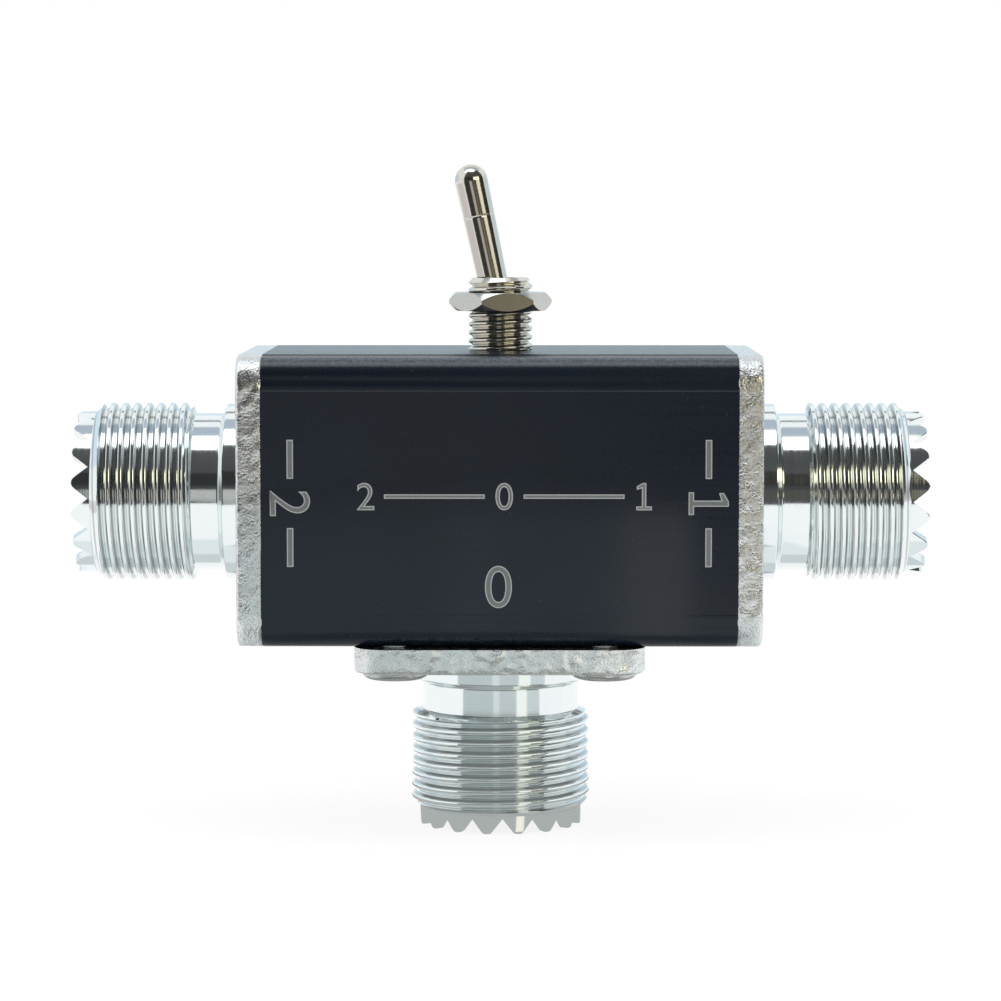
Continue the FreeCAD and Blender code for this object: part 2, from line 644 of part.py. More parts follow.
def make_case():
    """Moulded case, open at the top, slotted for the three terminals."""
    body = new_body("switch_case", z=PIVOT_Z)
    width = "(frame_width - 2*frame_thick)"
    sketch = new_sketch(body, "XY_Plane", lift=CASE_BOTTOM)
    centred_rectangle(sketch, CASE_LENGTH, width)
    run(body, "Pad", sketch, "case_height")
    sketch = new_sketch(body, "XY_Plane", lift=CASE_TOP)
    centred_rectangle(sketch, f"{CASE_LENGTH} - 2*case_wall", f"{width} - 2*case_wall")
    run(body, "Pocket", sketch, "case_height - case_floor")
    sketch = new_sketch(body, "XY_Plane", lift=CASE_BOTTOM)
    for place in ("0 - terminal_pitch", "0", "terminal_pitch"):
        rectangle(sketch, f"{place} - terminal_width/2", "0 - terminal_thick/2",
                  f"{place} + terminal_width/2", "terminal_thick/2")
    run(body, "Pocket", sketch, "2*case_floor", flip=True)
    return body


def make_terminal(side, place):
    """Flat solder terminal with a contact head under the rocker, or a cradle in the middle one."""
    body = new_body(f"{side}_terminal", x=place, z=PIVOT_Z)
    top = f"({ROCKER_LEVEL} - contact_gap)"
    if side != "common":
        top = f"({ROCKER_LEVEL} + {CLOSED_RISE} - contact_gap)"
    foot = f"({CASE_BOTTOM} - terminal_reach)"
    sketch = outline(
        new_sketch(body),
        ("0 - terminal_width/2", foot),
        ("terminal_width/2", foot),
        ("terminal_width/2", top),
        ("0 - terminal_width/2", top),
    )
    run(body, "Pad", sketch, "terminal_thick", symmetric=True)
    if side == "common":
        cradle = circle(new_sketch(body), "rocker_bead_dia + 2*contact_gap", "0", ROCKER_LEVEL)
        run(body, "Pocket", cradle, "2*terminal_thick", symmetric=True)
    else:
        sketch = new_sketch(body, "XY_Plane", lift=top)
        centred_rectangle(sketch, "terminal_width", "terminal_head_width")
        run(body, "Pad", sketch, "terminal_head_thick", flip=True)
    eye = circle(new_sketch(body), "terminal_width/2", "0", f"{foot} + terminal_width/2 + 0.3*terminal_reach")
    run(body, "Pocket", eye, "2*terminal_thick", symmetric=True)
    return body


def make_rocker():
    """Bent seesaw contact on the common terminal, one wing down on a closed contact."""
    body = new_body("rocker_contact", z=f"{PIVOT_Z} + {ROCKER_LEVEL}", axis=V(0, 1, 0), angle="rocker_tilt")
    slope = "tan(rocker_bend * 1 deg)"
    sketch = outline(
        new_sketch(body),
        ("0", "0"),
        ("rocker_half", f"rocker_half * {slope}"),
        ("rocker_half", f"rocker_half * {slope} + {ROCKER_RISE}"),
        ("0", ROCKER_RISE),
        ("0 - rocker_half", f"rocker_half * {slope} + {ROCKER_RISE}"),
        ("0 - rocker_half", f"rocker_half * {slope}"),
    )
    run(body, "Pad", sketch, "rocker_width", symmetric=True)
    run(body, "Pad", circle(new_sketch(body), "rocker_bead_dia"), "rocker_width", symmetric=True)
    return body


# ------------------------------------------------------------------ wiring
def make_side_wire(side, direction):
    """Straight link from a side socket's cup to the edge of its terminal."""
    start = "(box_length/2 - cup_reach + cup_depth)"
    end = "(terminal_pitch + terminal_width/2)"
    body = new_body(f"{side}_wire", z=AXIS_Z)
    sketch = circle(new_sketch(body, "YZ_Plane", lift=f"{direction}{end}"), "wire_dia")
    run(body, "Pad", sketch, f"{start} - {end}", flip=direction != "")
    return body


def make_common_wire():
    """Straight link from the bottom socket's cup to the foot of the common terminal."""
    start = "(cup_reach - cup_depth - box_side/2)"
    end = f"({PIVOT_Z} - {AXIS_Z} + {CASE_BOTTOM} - terminal_reach)"
    body = new_body("common_wire", z=AXIS_Z)
    sketch = circle(new_sketch(body, "XY_Plane", lift=start), "wire_dia")
    run(body, "Pad", sketch, f"{end} - {start}")
    return body


# ------------------------------------------------------------------ build, check and write
pieces = [make_housing()]
for side, place in SOCKETS.items():
    pieces += [make(side, place) for make in (make_socket_shell, make_insulator, make_retaining_ring,
                                              make_centre_contact, make_screws)]
pieces += [make_bushing(), make_pivot_pin(), make_nut(), make_lever(), make_plunger(), make_spring()]
pieces += [make_frame(), make_case(), make_rocker()]
for side, place in (("common", "0"), ("left", "0 - terminal_pitch"), ("right", "terminal_pitch")):
    pieces.append(make_terminal(side, place))
pieces += [make_common_wire(), make_side_wire("left", "0 - "), make_side_wire("right", "")]
doc.recompute()

for item in doc.Objects:
    if "Invalid" in item.State or "Error" in item.State:
        raise RuntimeError(f"{item.Label} did not compute: {item.State}")
for piece in pieces:
    if piece.Shape.isNull() or not piece.Shape.isValid():
        raise RuntimeError(f"{piece.Label} has no valid shape")

os.makedirs("parts", exist_ok=True)
for piece in pieces:
    piece.Shape.exportStep(f"parts/{piece.Label}.step")
    print(f"{piece.Label}: {len(piece.Shape.Solids)} solid(s), {piece.Shape.Volume:.2f} mm3")
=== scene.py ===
"""Looks of a two-way coaxial antenna switch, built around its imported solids.

Everything is in metres in the frame of the solids. Outlines inside a function are in
millimetres, as a turner's drawing gives them, and turn to metres where the mesh is made.
"""
import math

import bmesh
import bpy
import numpy as np
from mathutils import Matrix, Vector, noise


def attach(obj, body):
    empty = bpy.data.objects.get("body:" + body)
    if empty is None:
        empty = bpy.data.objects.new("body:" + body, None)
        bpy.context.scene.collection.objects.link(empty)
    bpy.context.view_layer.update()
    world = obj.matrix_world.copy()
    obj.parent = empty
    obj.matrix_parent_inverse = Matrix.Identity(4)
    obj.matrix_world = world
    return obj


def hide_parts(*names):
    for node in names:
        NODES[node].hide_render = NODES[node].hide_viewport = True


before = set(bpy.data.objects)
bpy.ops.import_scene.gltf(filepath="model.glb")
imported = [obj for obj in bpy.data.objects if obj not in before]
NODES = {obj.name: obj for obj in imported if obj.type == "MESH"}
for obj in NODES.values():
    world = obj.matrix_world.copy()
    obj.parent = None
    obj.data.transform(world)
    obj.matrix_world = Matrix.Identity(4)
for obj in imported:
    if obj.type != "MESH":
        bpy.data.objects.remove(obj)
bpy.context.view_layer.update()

bl_info = {
    "name": "Antenna switch looks",
    "version": (1, 0, 0),
    "blender": (4, 5, 0),
    "location": "View3D > Sidebar > Switch",
    "description": "Dresses the packed solids of a coaxial antenna switch",
    "category": "Object",
}

MM = 0.001
WELD = 1e-6                  # points nearer to each other than this are one, in metres
SIDES = ("left", "right", "bottom")
# all below in mm
AXIS_AT = 29.8               # height of the housing's middle and of the side sockets' axis
HALF = 12.7                  # half the side of the housing, and of each socket's flange
BAND_HALF = 9.9              # half the width of the housing's raised bands
CORE_HALF = 12.55            # half the side of the housing beside them
END_AT = 20.5                # each end of the housing, from its middle
FLANGE = 2.2                 # thickness of a socket's flange; its rear face is at 0
SCREW_AT = 9.1               # each screw from its flange's middle, both ways
RIM, BORE = 7.2, 6.325       # outer and inner radius of a socket's toothed rim
RIM_AT = 17.1                # tips of its teeth
TEETH = 16
PIVOT_AT = 45.45             # height of the lever's pivot
NUT_AT = 46.0                # height of the nut's underside


# ---------- sizes and colours
def linear(hex_colour):
    """A linear colour with alpha from an sRGB hex value."""
    channels = [int(hex_colour[start:start + 2], 16) / 255 for start in (1, 3, 5)]
    return (*[c / 12.92 if c <= 0.04045 else ((c + 0.055) / 1.055) ** 2.4 for c in channels], 1.0)


def toned(colour, share):
    """A linear colour at a share of its brightness."""
    return [channel * share for channel in colour[:3]] + [1.0]


def length_property(name, description, millimetres):
    return bpy.props.FloatProperty(
        name=name, description=description, default=millimetres * MM, min=0.0, unit="LENGTH",
        precision=6)


def angle_property(name, description, degrees):
    return bpy.props.FloatProperty(
        name=name, description=description, default=math.radians(degrees), subtype="ANGLE")


def colour_property(name, description, hex_colour):
    return bpy.props.FloatVectorProperty(
        name=name, description=description, default=linear(hex_colour), size=4, min=0.0, max=1.0,
        subtype="COLOR")


class SwitchSizes(bpy.types.PropertyGroup):
    coupling_pitch: length_property("Coupling pitch", "Pitch of the sockets' thread", 1.0583)
    coupling_depth: length_property("Coupling depth", "Depth of the sockets' thread", 0.53)
    bushing_pitch: length_property("Bushing pitch", "Pitch of the toggle bushing's thread", 0.75)
    bushing_depth: length_property("Bushing depth", "Depth of the toggle bushing's thread", 0.36)
    left_turn: angle_property("Left teeth", "Turn of the left socket's teeth on its barrel", -0.5)
    right_turn: angle_property("Right teeth", "Turn of the right socket's teeth", 2.7)
    bottom_turn: angle_property("Bottom teeth", "Turn of the bottom socket's teeth", -1.8)
    nut_turn: angle_property("Nut", "Turn of the nut about the bushing", 9.35)
    lever_lean: angle_property("Lever", "Lean of the lever from upright at rest", 12.2)
    casting_relief: length_property("Casting relief", "Depth of the end flanges' dents", 0.05)
    bottom_relief: length_property("Bottom relief", "Depth of the bottom flange's dents", 0.16)
    band_slope: length_property("Band slope", "Width of the slope beside the raised bands", 0.35)
    etch_height: length_property("Etch height", "How far the marks stand on the skin", 0.006)


class SwitchColours(bpy.types.PropertyGroup):
    anodised: colour_property("Anodised skin", "Black dye of the housing", "#0B1827")
    etched: colour_property("Etched mark", "Bared aluminium of the numerals", "#B4B8B8")
    etched_core: colour_property("Etched core", "Middle of the numerals' strokes", "#767B7A")
    cast_nickel: colour_property("Cast flange", "Nickel plate on the rough casting", "#E6EAEA")
    turned_nickel: colour_property("Turned barrel", "Bright plate on turned metal", "#F0F6F7")
    flank_shade_nickel: colour_property("Thread flank", "Nickel of the thread flanks, painted greyer as shade", "#C6CBCB")
    toggle_nickel: colour_property("Toggle", "Nickel plate of lever and bushing", "#DEDBD2")
    nut_nickel: colour_property("Nut", "Duller nickel plate of the nut", "#C8C8C2")
    insulator: colour_property("Insulator", "White PTFE", "#ECEBE4")
    contact: colour_property("Contact", "Gold flash of the centre contacts", "#D9B566")
    screw: colour_property("Screw", "Zinc plate of the screws", "#C9CBCB")
    case: colour_property("Switch case", "Moulded phenolic case", "#27507F")
    silver: colour_property("Terminal", "Silver plate of terminals and rocker", "#DEDCD3")
    tinned: colour_property("Tinned", "Tin on the frame and the wires", "#C4C5C1")


# ---------- materials
def add_node(tree, kind, inputs=None, **settings):
    """A node with its settings. Each input gets its value, or a link if it is given a socket, or
    a node, which then gives its first output."""
    node = tree.nodes.new(kind)
    for name, value in settings.items():
        setattr(node, name, value)
    for name, value in (inputs or {}).items():
        if isinstance(value, bpy.types.Node):
            value = value.outputs[0]
        if isinstance(value, bpy.types.NodeSocket):
            tree.links.new(value, node.inputs[name])
        else:
            node.inputs[name].default_value = value
    return node


def new_material(name):
    material = bpy.data.materials.new(name)
    material.use_nodes = True
    material.node_tree.nodes.clear()
    return material, material.node_tree


def worked_metal(name, colour, shade, roughness, spread, marks, depth):
    """A plated metal with the marks of its making. marks is their size along x, y and z and depth
    their height, in mm; roughness goes up and down by spread, and the colour down to shade."""
    material, tree = new_material(name)
    where = add_node(tree, "ShaderNodeTexCoord").outputs["Object"]
    fine = add_node(tree, "ShaderNodeMapping", {
        "Vector": where, "Scale": [1 / (size * MM) for size in marks]})
    grain = add_node(tree, "ShaderNodeTexNoise", {"Vector": fine, "Scale": 1.0, "Detail": 2.0})
    # air and handling have toned it in patches 3.5 mm wide
    stain = add_node(tree, "ShaderNodeTexNoise", {
        "Vector": where, "Scale": 1 / (3.5 * MM), "Detail": 3.0})
    rough = add_node(tree, "ShaderNodeMapRange", {
        "Value": grain, "From Min": 0.3, "From Max": 0.7, "To Min": roughness - spread,
        "To Max": roughness + spread})
    tone = add_node(tree, "ShaderNodeMix", {
        0: stain, 6: colour, 7: toned(colour, shade)}, data_type="RGBA")
    relief = add_node(tree, "ShaderNodeBump", {"Height": grain, "Distance": depth * MM})
    skin = add_node(tree, "ShaderNodeBsdfPrincipled", {
        "Base Color": tone.outputs[2], "Metallic": 1.0, "Roughness": rough, "Normal": relief})
    add_node(tree, "ShaderNodeOutputMaterial", {"Surface": skin})
    return material


def moulded_plastic(name, colour, roughness, grain_size, depth, through=0.0):
    """A moulded polymer: even colour, cloudy in patches 4 mm wide, with the fine matt skin of the
    mould. grain_size and depth are in mm, and through is how much light goes into it."""
    material, tree = new_material(name)
    where = add_node(tree, "ShaderNodeTexCoord").outputs["Object"]
    grain, cloud = [add_node(tree, "ShaderNodeTexNoise", {
        "Vector": where, "Scale": 1 / (size * MM), "Detail": detail})
        for size, detail in ((grain_size, 3.0), (4.0, 2.0))]
    tone = add_node(tree, "ShaderNodeMix", {
        0: cloud, 6: colour, 7: toned(colour, 0.9)}, data_type="RGBA")
    relief = add_node(tree, "ShaderNodeBump", {"Height": grain, "Distance": depth * MM})
    skin = add_node(tree, "ShaderNodeBsdfPrincipled", {
        "Base Color": tone.outputs[2], "Roughness": roughness, "Normal": relief,
        "Subsurface Weight": through, "Subsurface Scale": 0.5 * MM})
    add_node(tree, "ShaderNodeOutputMaterial", {"Surface": skin})
    return material


def black_anodised_aluminium(colour):
    """Extruded aluminium, etched matt and dyed black: a soft sheen with die lines along the bar."""
    material, tree = new_material("black anodised aluminium, extruded")
    where = add_node(tree, "ShaderNodeTexCoord").outputs["Object"]
    # die lines about 0.3 mm apart run along X; the etched grain between them is drawn 0.14 mm
    # wide, and the dye is cloudy in patches 9 mm wide
    drawn_out = add_node(tree, "ShaderNodeMapping", {
        "Vector": where, "Scale": [1 / (size * MM) for size in (60, 0.3, 0.3)]})
    lines = add_node(tree, "ShaderNodeTexNoise", {
        "Vector": drawn_out, "Scale": 1.0, "Detail": 3.0})
    grain, cloud = [add_node(tree, "ShaderNodeTexNoise", {
        "Vector": where, "Scale": 1 / (size * MM), "Detail": 2.0}) for size in (0.14, 9)]
    tone = add_node(tree, "ShaderNodeMix", {
        0: cloud, 6: toned(colour, 0.78), 7: toned(colour, 1.25)}, data_type="RGBA")
    # a few pale specks of dust, some 0.15 mm across and several millimetres apart
    cells = add_node(tree, "ShaderNodeTexVoronoi", {"Vector": where, "Scale": 1 / (1.6 * MM)})
    dust = add_node(tree, "ShaderNodeMapRange", {
        "Value": cells.outputs["Distance"], "From Min": 0.03, "From Max": 0.06, "To Min": 0.10,
        "To Max": 0.0})
    dusty = add_node(tree, "ShaderNodeMix", {
        0: dust, 6: tone.outputs[2], 7: linear("#8A8F92")}, data_type="RGBA")
    # the upper corners are painted lighter and speckled, a painted sheen where their rounding faces
    # the light from above; and the die leaves the middle of the front and back 0.03 mm low, between
    # two steps 19.3 mm apart
    ways = add_node(tree, "ShaderNodeSeparateXYZ", {0: where}).outputs
    level = add_node(tree, "ShaderNodeMath", {
        0: ways["Z"], 1: AXIS_AT * MM}, operation="SUBTRACT")
    aside, away = [add_node(tree, "ShaderNodeMath", {0: value}, operation="ABSOLUTE")
                   for value in (ways["Y"], level)]
    outside, upper, beside = [add_node(tree, "ShaderNodeMapRange", {
        "Value": value, "From Min": start * MM, "From Max": stop * MM})
        for value, start, stop in ((aside, 10.0, 11.6), (level, 11.6, 12.4), (away, 9.6, 9.72))]
    corner = add_node(tree, "ShaderNodeMath", {0: outside, 1: upper}, operation="MULTIPLY")
    # the speckle is drawn 0.3 mm wide
    patchy = add_node(tree, "ShaderNodeTexNoise", {
        "Vector": where, "Scale": 1 / (0.3 * MM), "Detail": 2.0})
    speckle = add_node(tree, "ShaderNodeMapRange", {
        "Value": patchy, "From Min": 0.35, "From Max": 0.7, "To Min": 0.4, "To Max": 1.0})
    # painted sheen: the speckle mixes the dye on the upper corners towards a lighter grey
    painted_sheen = add_node(tree, "ShaderNodeMath", {0: corner, 1: speckle}, operation="MULTIPLY")
    with_painted_sheen = add_node(tree, "ShaderNodeMix", {
        0: painted_sheen, 6: dusty.outputs[2], 7: linear("#626C73")}, data_type="RGBA")
    height = add_node(tree, "ShaderNodeMix", {0: 0.45, 2: grain, 3: lines}, data_type="FLOAT")
    rough = add_node(tree, "ShaderNodeMapRange", {
        "Value": height, "From Min": 0.3, "From Max": 0.7, "To Min": 0.22, "To Max": 0.34})
    relief = add_node(tree, "ShaderNodeBump", {"Height": height, "Distance": 0.006 * MM})
    step = add_node(tree, "ShaderNodeBump", {
        "Height": beside, "Distance": 0.03 * MM, "Normal": relief})
    skin = add_node(tree, "ShaderNodeBsdfPrincipled", {
        "Base Color": with_painted_sheen.outputs[2], "IOR": 1.46, "Roughness": rough, "Normal": step})
    add_node(tree, "ShaderNodeOutputMaterial", {"Surface": skin})
    return material


def nickel_plated_casting(name, colour, crease):
    """Die-cast zinc under thin nickel: a bright skin over pits and flow marks, so it sparkles.
    crease is the depth of its folds, in mm."""
    material, tree = new_material(name)
    where = add_node(tree, "ShaderNodeTexCoord").outputs["Object"]
    # grains 0.2 mm wide over flow marks 0.9 mm wide
    pits, flow = [add_node(tree, "ShaderNodeTexNoise", {
        "Vector": where, "Scale": 1 / (size * MM), "Detail": detail})
        for size, detail in ((0.2, 3.0), (0.9, 2.0))]
    height = add_node(tree, "ShaderNodeMix", {0: 0.35, 2: pits, 3: flow}, data_type="FLOAT")
    # painted shade: the low spots of the pits are painted darker, down to three quarters of the
    # colour
    dark = add_node(tree, "ShaderNodeMapRange", {
        "Value": pits, "From Min": 0.3, "From Max": 0.45, "To Min": 1.0, "To Max": 0.0})
    tone = add_node(tree, "ShaderNodeMix", {
        0: dark, 6: colour, 7: toned(colour, 0.75)}, data_type="RGBA")
    rough = add_node(tree, "ShaderNodeMapRange", {
        "Value": flow, "From Min": 0.35, "From Max": 0.65, "To Min": 0.18, "To Max": 0.36})
    relief = add_node(tree, "ShaderNodeBump", {"Height": height, "Distance": 0.1 * MM})
    # where the metal met cold it folded into creases, about 1.3 mm apart
    folds = add_node(tree, "ShaderNodeTexNoise", {
        "Vector": where, "Scale": 1 / (1.3 * MM), "Detail": 2.0}, noise_type="RIDGED_MULTIFRACTAL")
    creased = add_node(tree, "ShaderNodeBump", {
        "Height": folds, "Distance": crease * MM, "Normal": relief})
    skin = add_node(tree, "ShaderNodeBsdfPrincipled", {
        "Base Color": tone.outputs[2], "Metallic": 1.0, "Roughness": rough, "Normal": creased})
    add_node(tree, "ShaderNodeOutputMaterial", {"Surface": skin})
    return material


def etched_aluminium(name, colour):
    """Aluminium bared by a laser: matt pale grey, with the beam's hatching across it."""
    material, tree = new_material(name)
    where = add_node(tree, "ShaderNodeTexCoord").outputs["Object"]
    # the beam's lines are 0.05 mm apart, too fine to show: a wave of this scale draws them about
    # a millimetre apart, over a speckle 0.2 mm wide
    hatch = add_node(tree, "ShaderNodeTexWave", {
        "Vector": where, "Scale": 1 / (2.4 * MM), "Distortion": 1.0},
        wave_type="BANDS", bands_direction="DIAGONAL")
    speckle = add_node(tree, "ShaderNodeTexNoise", {
        "Vector": where, "Scale": 1 / (0.2 * MM), "Detail": 3.0})
    tone = add_node(tree, "ShaderNodeMix", {
        0: speckle, 6: toned(colour, 0.8), 7: colour}, data_type="RGBA")
    relief = add_node(tree, "ShaderNodeBump", {
        "Height": hatch.outputs["Fac"], "Distance": 0.004 * MM})
    skin = add_node(tree, "ShaderNodeBsdfPrincipled", {
        "Base Color": tone.outputs[2], "Metallic": 0.1, "Roughness": 0.55, "Normal": relief})
    add_node(tree, "ShaderNodeOutputMaterial", {"Surface": skin})
    return material


def dress(material, *nodes):
    """Give solids that stay as they are their finish."""
    for node in nodes:
        mesh = NODES[node].data
        mesh.materials.clear()
        mesh.materials.append(material)


# ---------- meshes
# one rounded thread from crest to crest: share of the pitch, share of the depth
HALF_THREAD = ((0.08, 1.0), (0.13, 0.97), (0.17, 0.89), (0.205, 0.79), (0.37, 0.21), (0.42, 0.08))
THREAD_FORM = (*HALF_THREAD, (0.5, 0.0),
               *((1 - phase, height) for phase, height in HALF_THREAD[::-1]))


def new_object(name, data):
    thing = bpy.data.objects.new(name, data)
    bpy.context.scene.collection.objects.link(thing)
    return thing


def new_mesh(name, points, faces, *materials):
    """A mesh over points in mm."""
    mesh = bpy.data.meshes.new(name)
    mesh.from_pydata((np.array(points) * MM).tolist(), [], faces)
    for material in materials:
        mesh.materials.append(material)
    return mesh


def welded(mesh):
    """Make points that meet one, with the faces outwards."""
    build = bmesh.new()
    build.from_mesh(mesh)
    bmesh.ops.remove_doubles(build, verts=build.verts, dist=WELD)
    bmesh.ops.recalc_face_normals(build, faces=build.faces)
    build.to_mesh(mesh)
    build.free()
    return mesh


def circle_of(radius, height, angles):
    """One row of points about Z; radius and height may differ from point to point."""
    return np.column_stack((radius * np.cos(angles), radius * np.sin(angles),
                            np.broadcast_to(height, angles.shape)))


def circles_of(outline, angles):
    """Rows of points about Z through an outline of (radius, height)."""
    return [circle_of(radius, height, angles) for radius, height in outline]


def full_turn(columns, start=0.0):
    return start + 2 * math.pi * np.arange(columns) / columns


def thread_rows(angles, pitch, depth, limit_at, limit):
    """Rows that follow a right-hand thread between the first and last of the heights limit_at,
    and stay inside the radii that limit gives there."""
    start, end = limit_at[0], limit_at[-1]
    share = np.arange(len(angles)) / len(angles)
    phases, heights = np.array(THREAD_FORM).T
    rows = []
    for turn in range(-1, math.ceil((end - start) / pitch) + 1):
        for phase in phases:
            level = np.clip(start + pitch * (turn + phase + share), start, end)
            height = np.interp((level - start) / pitch - share, phases, heights, period=1.0)
            radius = np.minimum(np.interp(level, limit_at, limit),
                                max(limit) - depth * (1 - height))
            rows.append(circle_of(radius, level, angles))
    return rows


def loft(name, rows, materials, slots=None, closed=False, thread=None):
    """A skin over rows of points, each row closed on itself. Between the first and last row of
    thread, a row meets the one a pitch further on after each turn."""
    count, columns = len(rows), len(rows[0])
    meets = list(range(count))
    if thread:
        for row in range(*thread):
            meets[row] = min(row + len(THREAD_FORM), thread[1] - 1)
    faces, finishes = [], []
    for row in range(count if closed else count - 1):
        above = (row + 1) % count
        low, high = row * columns, above * columns
        faces += [(low + i, low + i + 1, high + i + 1, high + i) for i in range(columns - 1)]
        faces.append((low + columns - 1, meets[row] * columns, meets[above] * columns,
                      high + columns - 1))
        finishes += [slots[row] if slots else 0] * columns
    mesh = new_mesh(name, np.concatenate(rows), faces, *materials)
    mesh.polygons.foreach_set("material_index", finishes)
    return new_object(name, welded(mesh))


def supported(points, reach=0.06):
    """An outline with a point more near both ends of each long stretch, for true shading."""
    outline = [points[0]]
    for start, end in zip(points, points[1:]):
        length = math.dist(start, end)
        if length > 5 * reach:
            for share in (reach / length, 1 - reach / length):
                outline.append(tuple(np.array(start) * (1 - share) + np.array(end) * share))
        outline.append(end)
    return outline


def softened(corners, reach):
    """An outline with its corners eased; a corner may name its own reach as a third number."""
    points = [corners[0][:2]]
    for before, corner, after in zip(corners, corners[1:], corners[2:]):
        middle = np.array(corner[:2], float)
        back, ahead = np.array(before[:2]) - middle, np.array(after[:2]) - middle
        own = corner[2] if len(corner) > 2 else reach
        trim = min(own, 0.45 * np.linalg.norm(back), 0.45 * np.linalg.norm(ahead))
        start = middle + back / np.linalg.norm(back) * trim
        end = middle + ahead / np.linalg.norm(ahead) * trim
        for share in (0.0, 0.5, 1.0):
            points.append(tuple((1 - share) ** 2 * start + 2 * share * (1 - share) * middle
                                + share ** 2 * end))
    return supported(points + [corners[-1][:2]])


def lathe(name, corners, material, reach=0.0, columns=96):
    """A turned piece about Z from its outline of (radius, height)."""
    return loft(name, circles_of(softened(corners, reach), full_turn(columns)), (material,))


def shaded(piece, sharp=38.0):
    """Smooth shading that keeps edges sharper than this many degrees."""
    piece.data.shade_smooth()
    piece.data.set_sharp_from_angle(angle=math.radians(sharp))
    return piece


def evaluated(thing):
    """The mesh that an object's modifiers or its curve's settings give."""
    bpy.context.view_layer.update()
    depsgraph = bpy.context.evaluated_depsgraph_get()
    return bpy.data.meshes.new_from_object(thing.evaluated_get(depsgraph))


def applied(piece):
    """Turn the piece's modifiers into its mesh."""
    mesh = evaluated(piece)
    piece.modifiers.clear()
    piece.data = mesh
    return piece


def flat_sided(piece, sharp):
    """Shading that keeps flats flat beside rounds and chamfers."""
    even = shaded(piece, sharp).modifiers.new("flats", "WEIGHTED_NORMAL")
    even.keep_sharp, even.weight = True, 100
    return applied(piece)


def cut(piece, cutter, operation="DIFFERENCE"):
    """Cut the piece by another mesh, which then goes."""
    modifier = piece.modifiers.new("cut", "BOOLEAN")
    modifier.operation, modifier.solver, modifier.object = operation, "EXACT", cutter
    applied(piece)
    bpy.data.objects.remove(cutter)
    if not piece.data.polygons:
        raise RuntimeError(f"nothing is left of {piece.name} after its cut")
    return piece


def joined(name, pieces):
    """Several pieces as one object, each at its own place."""
    bpy.context.view_layer.update()
    build = bmesh.new()
    for piece in pieces:
        piece.data.transform(piece.matrix_world)
        build.from_mesh(piece.data)
    mesh = new_mesh(name, [], [], *pieces[0].data.materials)
    build.to_mesh(mesh)
    build.free()
    for piece in pieces:
        bpy.data.objects.remove(piece)
    return new_object(name, mesh)


def settle(piece, slot, *nodes, place=Matrix.Identity(4), body="switch_housing"):
    """Put a finished piece in its place, on its body, instead of its solids."""
    piece.matrix_world = place
    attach(piece, body)
    if nodes:
        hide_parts(*nodes)


# ---------- sockets
def socket_place(side):
    """Where a socket's flange has its rear face, with Z out of its mouth."""
    if side == "bottom":
        return Matrix.Translation((0, 0, RIM_AT * MM)) @ Matrix.Rotation(math.pi, 4, "X")
    way = -1 if side == "left" else 1
    return (Matrix.Translation((way * END_AT * MM, 0, AXIS_AT * MM))
            @ Matrix.Rotation(way * math.pi / 2, 4, "Y"))


def flange_edge(angles, inset):
    """Distance to the edge of the rounded square flange, drawn in by inset."""
    half, corner = HALF - inset, 2.8 - inset
    across, along = np.abs(np.cos(angles)), np.abs(np.sin(angles))
    flat = half / np.maximum(across, along)
    centre = half - corner
    middle = centre * (across + along)
    curve = middle + np.sqrt(np.maximum(middle ** 2 - 2 * centre ** 2 + corner ** 2, 0.0))
    return np.where(flat * np.minimum(across, along) <= centre, flat, curve)


def rough_cast(row, depth):
    """Dent a row of the flange inwards by up to depth, as a casting is uneven."""
    dented = row.copy()
    for point in dented:
        # broad dents 0.8 mm wide with smaller ones, 0.3 mm wide, in them
        dent = (0.5 + 0.5 * noise.noise(Vector(point) * 1.3)
                + 0.35 * noise.noise(Vector(point) * 3.1))
        point[:2] *= 1 - depth * min(max(dent, 0.0), 1.0) / np.linalg.norm(point[:2])
    return dented


def tooth_tops(radius, angles, turn):
    """Height of the notched rim: V notches of even width between round-tipped teeth."""
    step, tip, flank = 2 * math.pi / TEETH, 0.6, math.radians(38)
    from_notch = np.abs(radius * np.sin((angles - turn + step / 2) % step - step / 2))
    from_tip = np.maximum(RIM * step / 2 - from_notch, 0.0)
    round_reach = tip * math.cos(flank)
    crown = tip - np.sqrt(np.maximum(tip ** 2 - np.minimum(from_tip, round_reach) ** 2, 0.0))
    slope = tip * (1 - math.sin(flank)) + (from_tip - round_reach) / math.tan(flank)
    return RIM_AT - np.where(from_tip < round_reach, crown, slope)


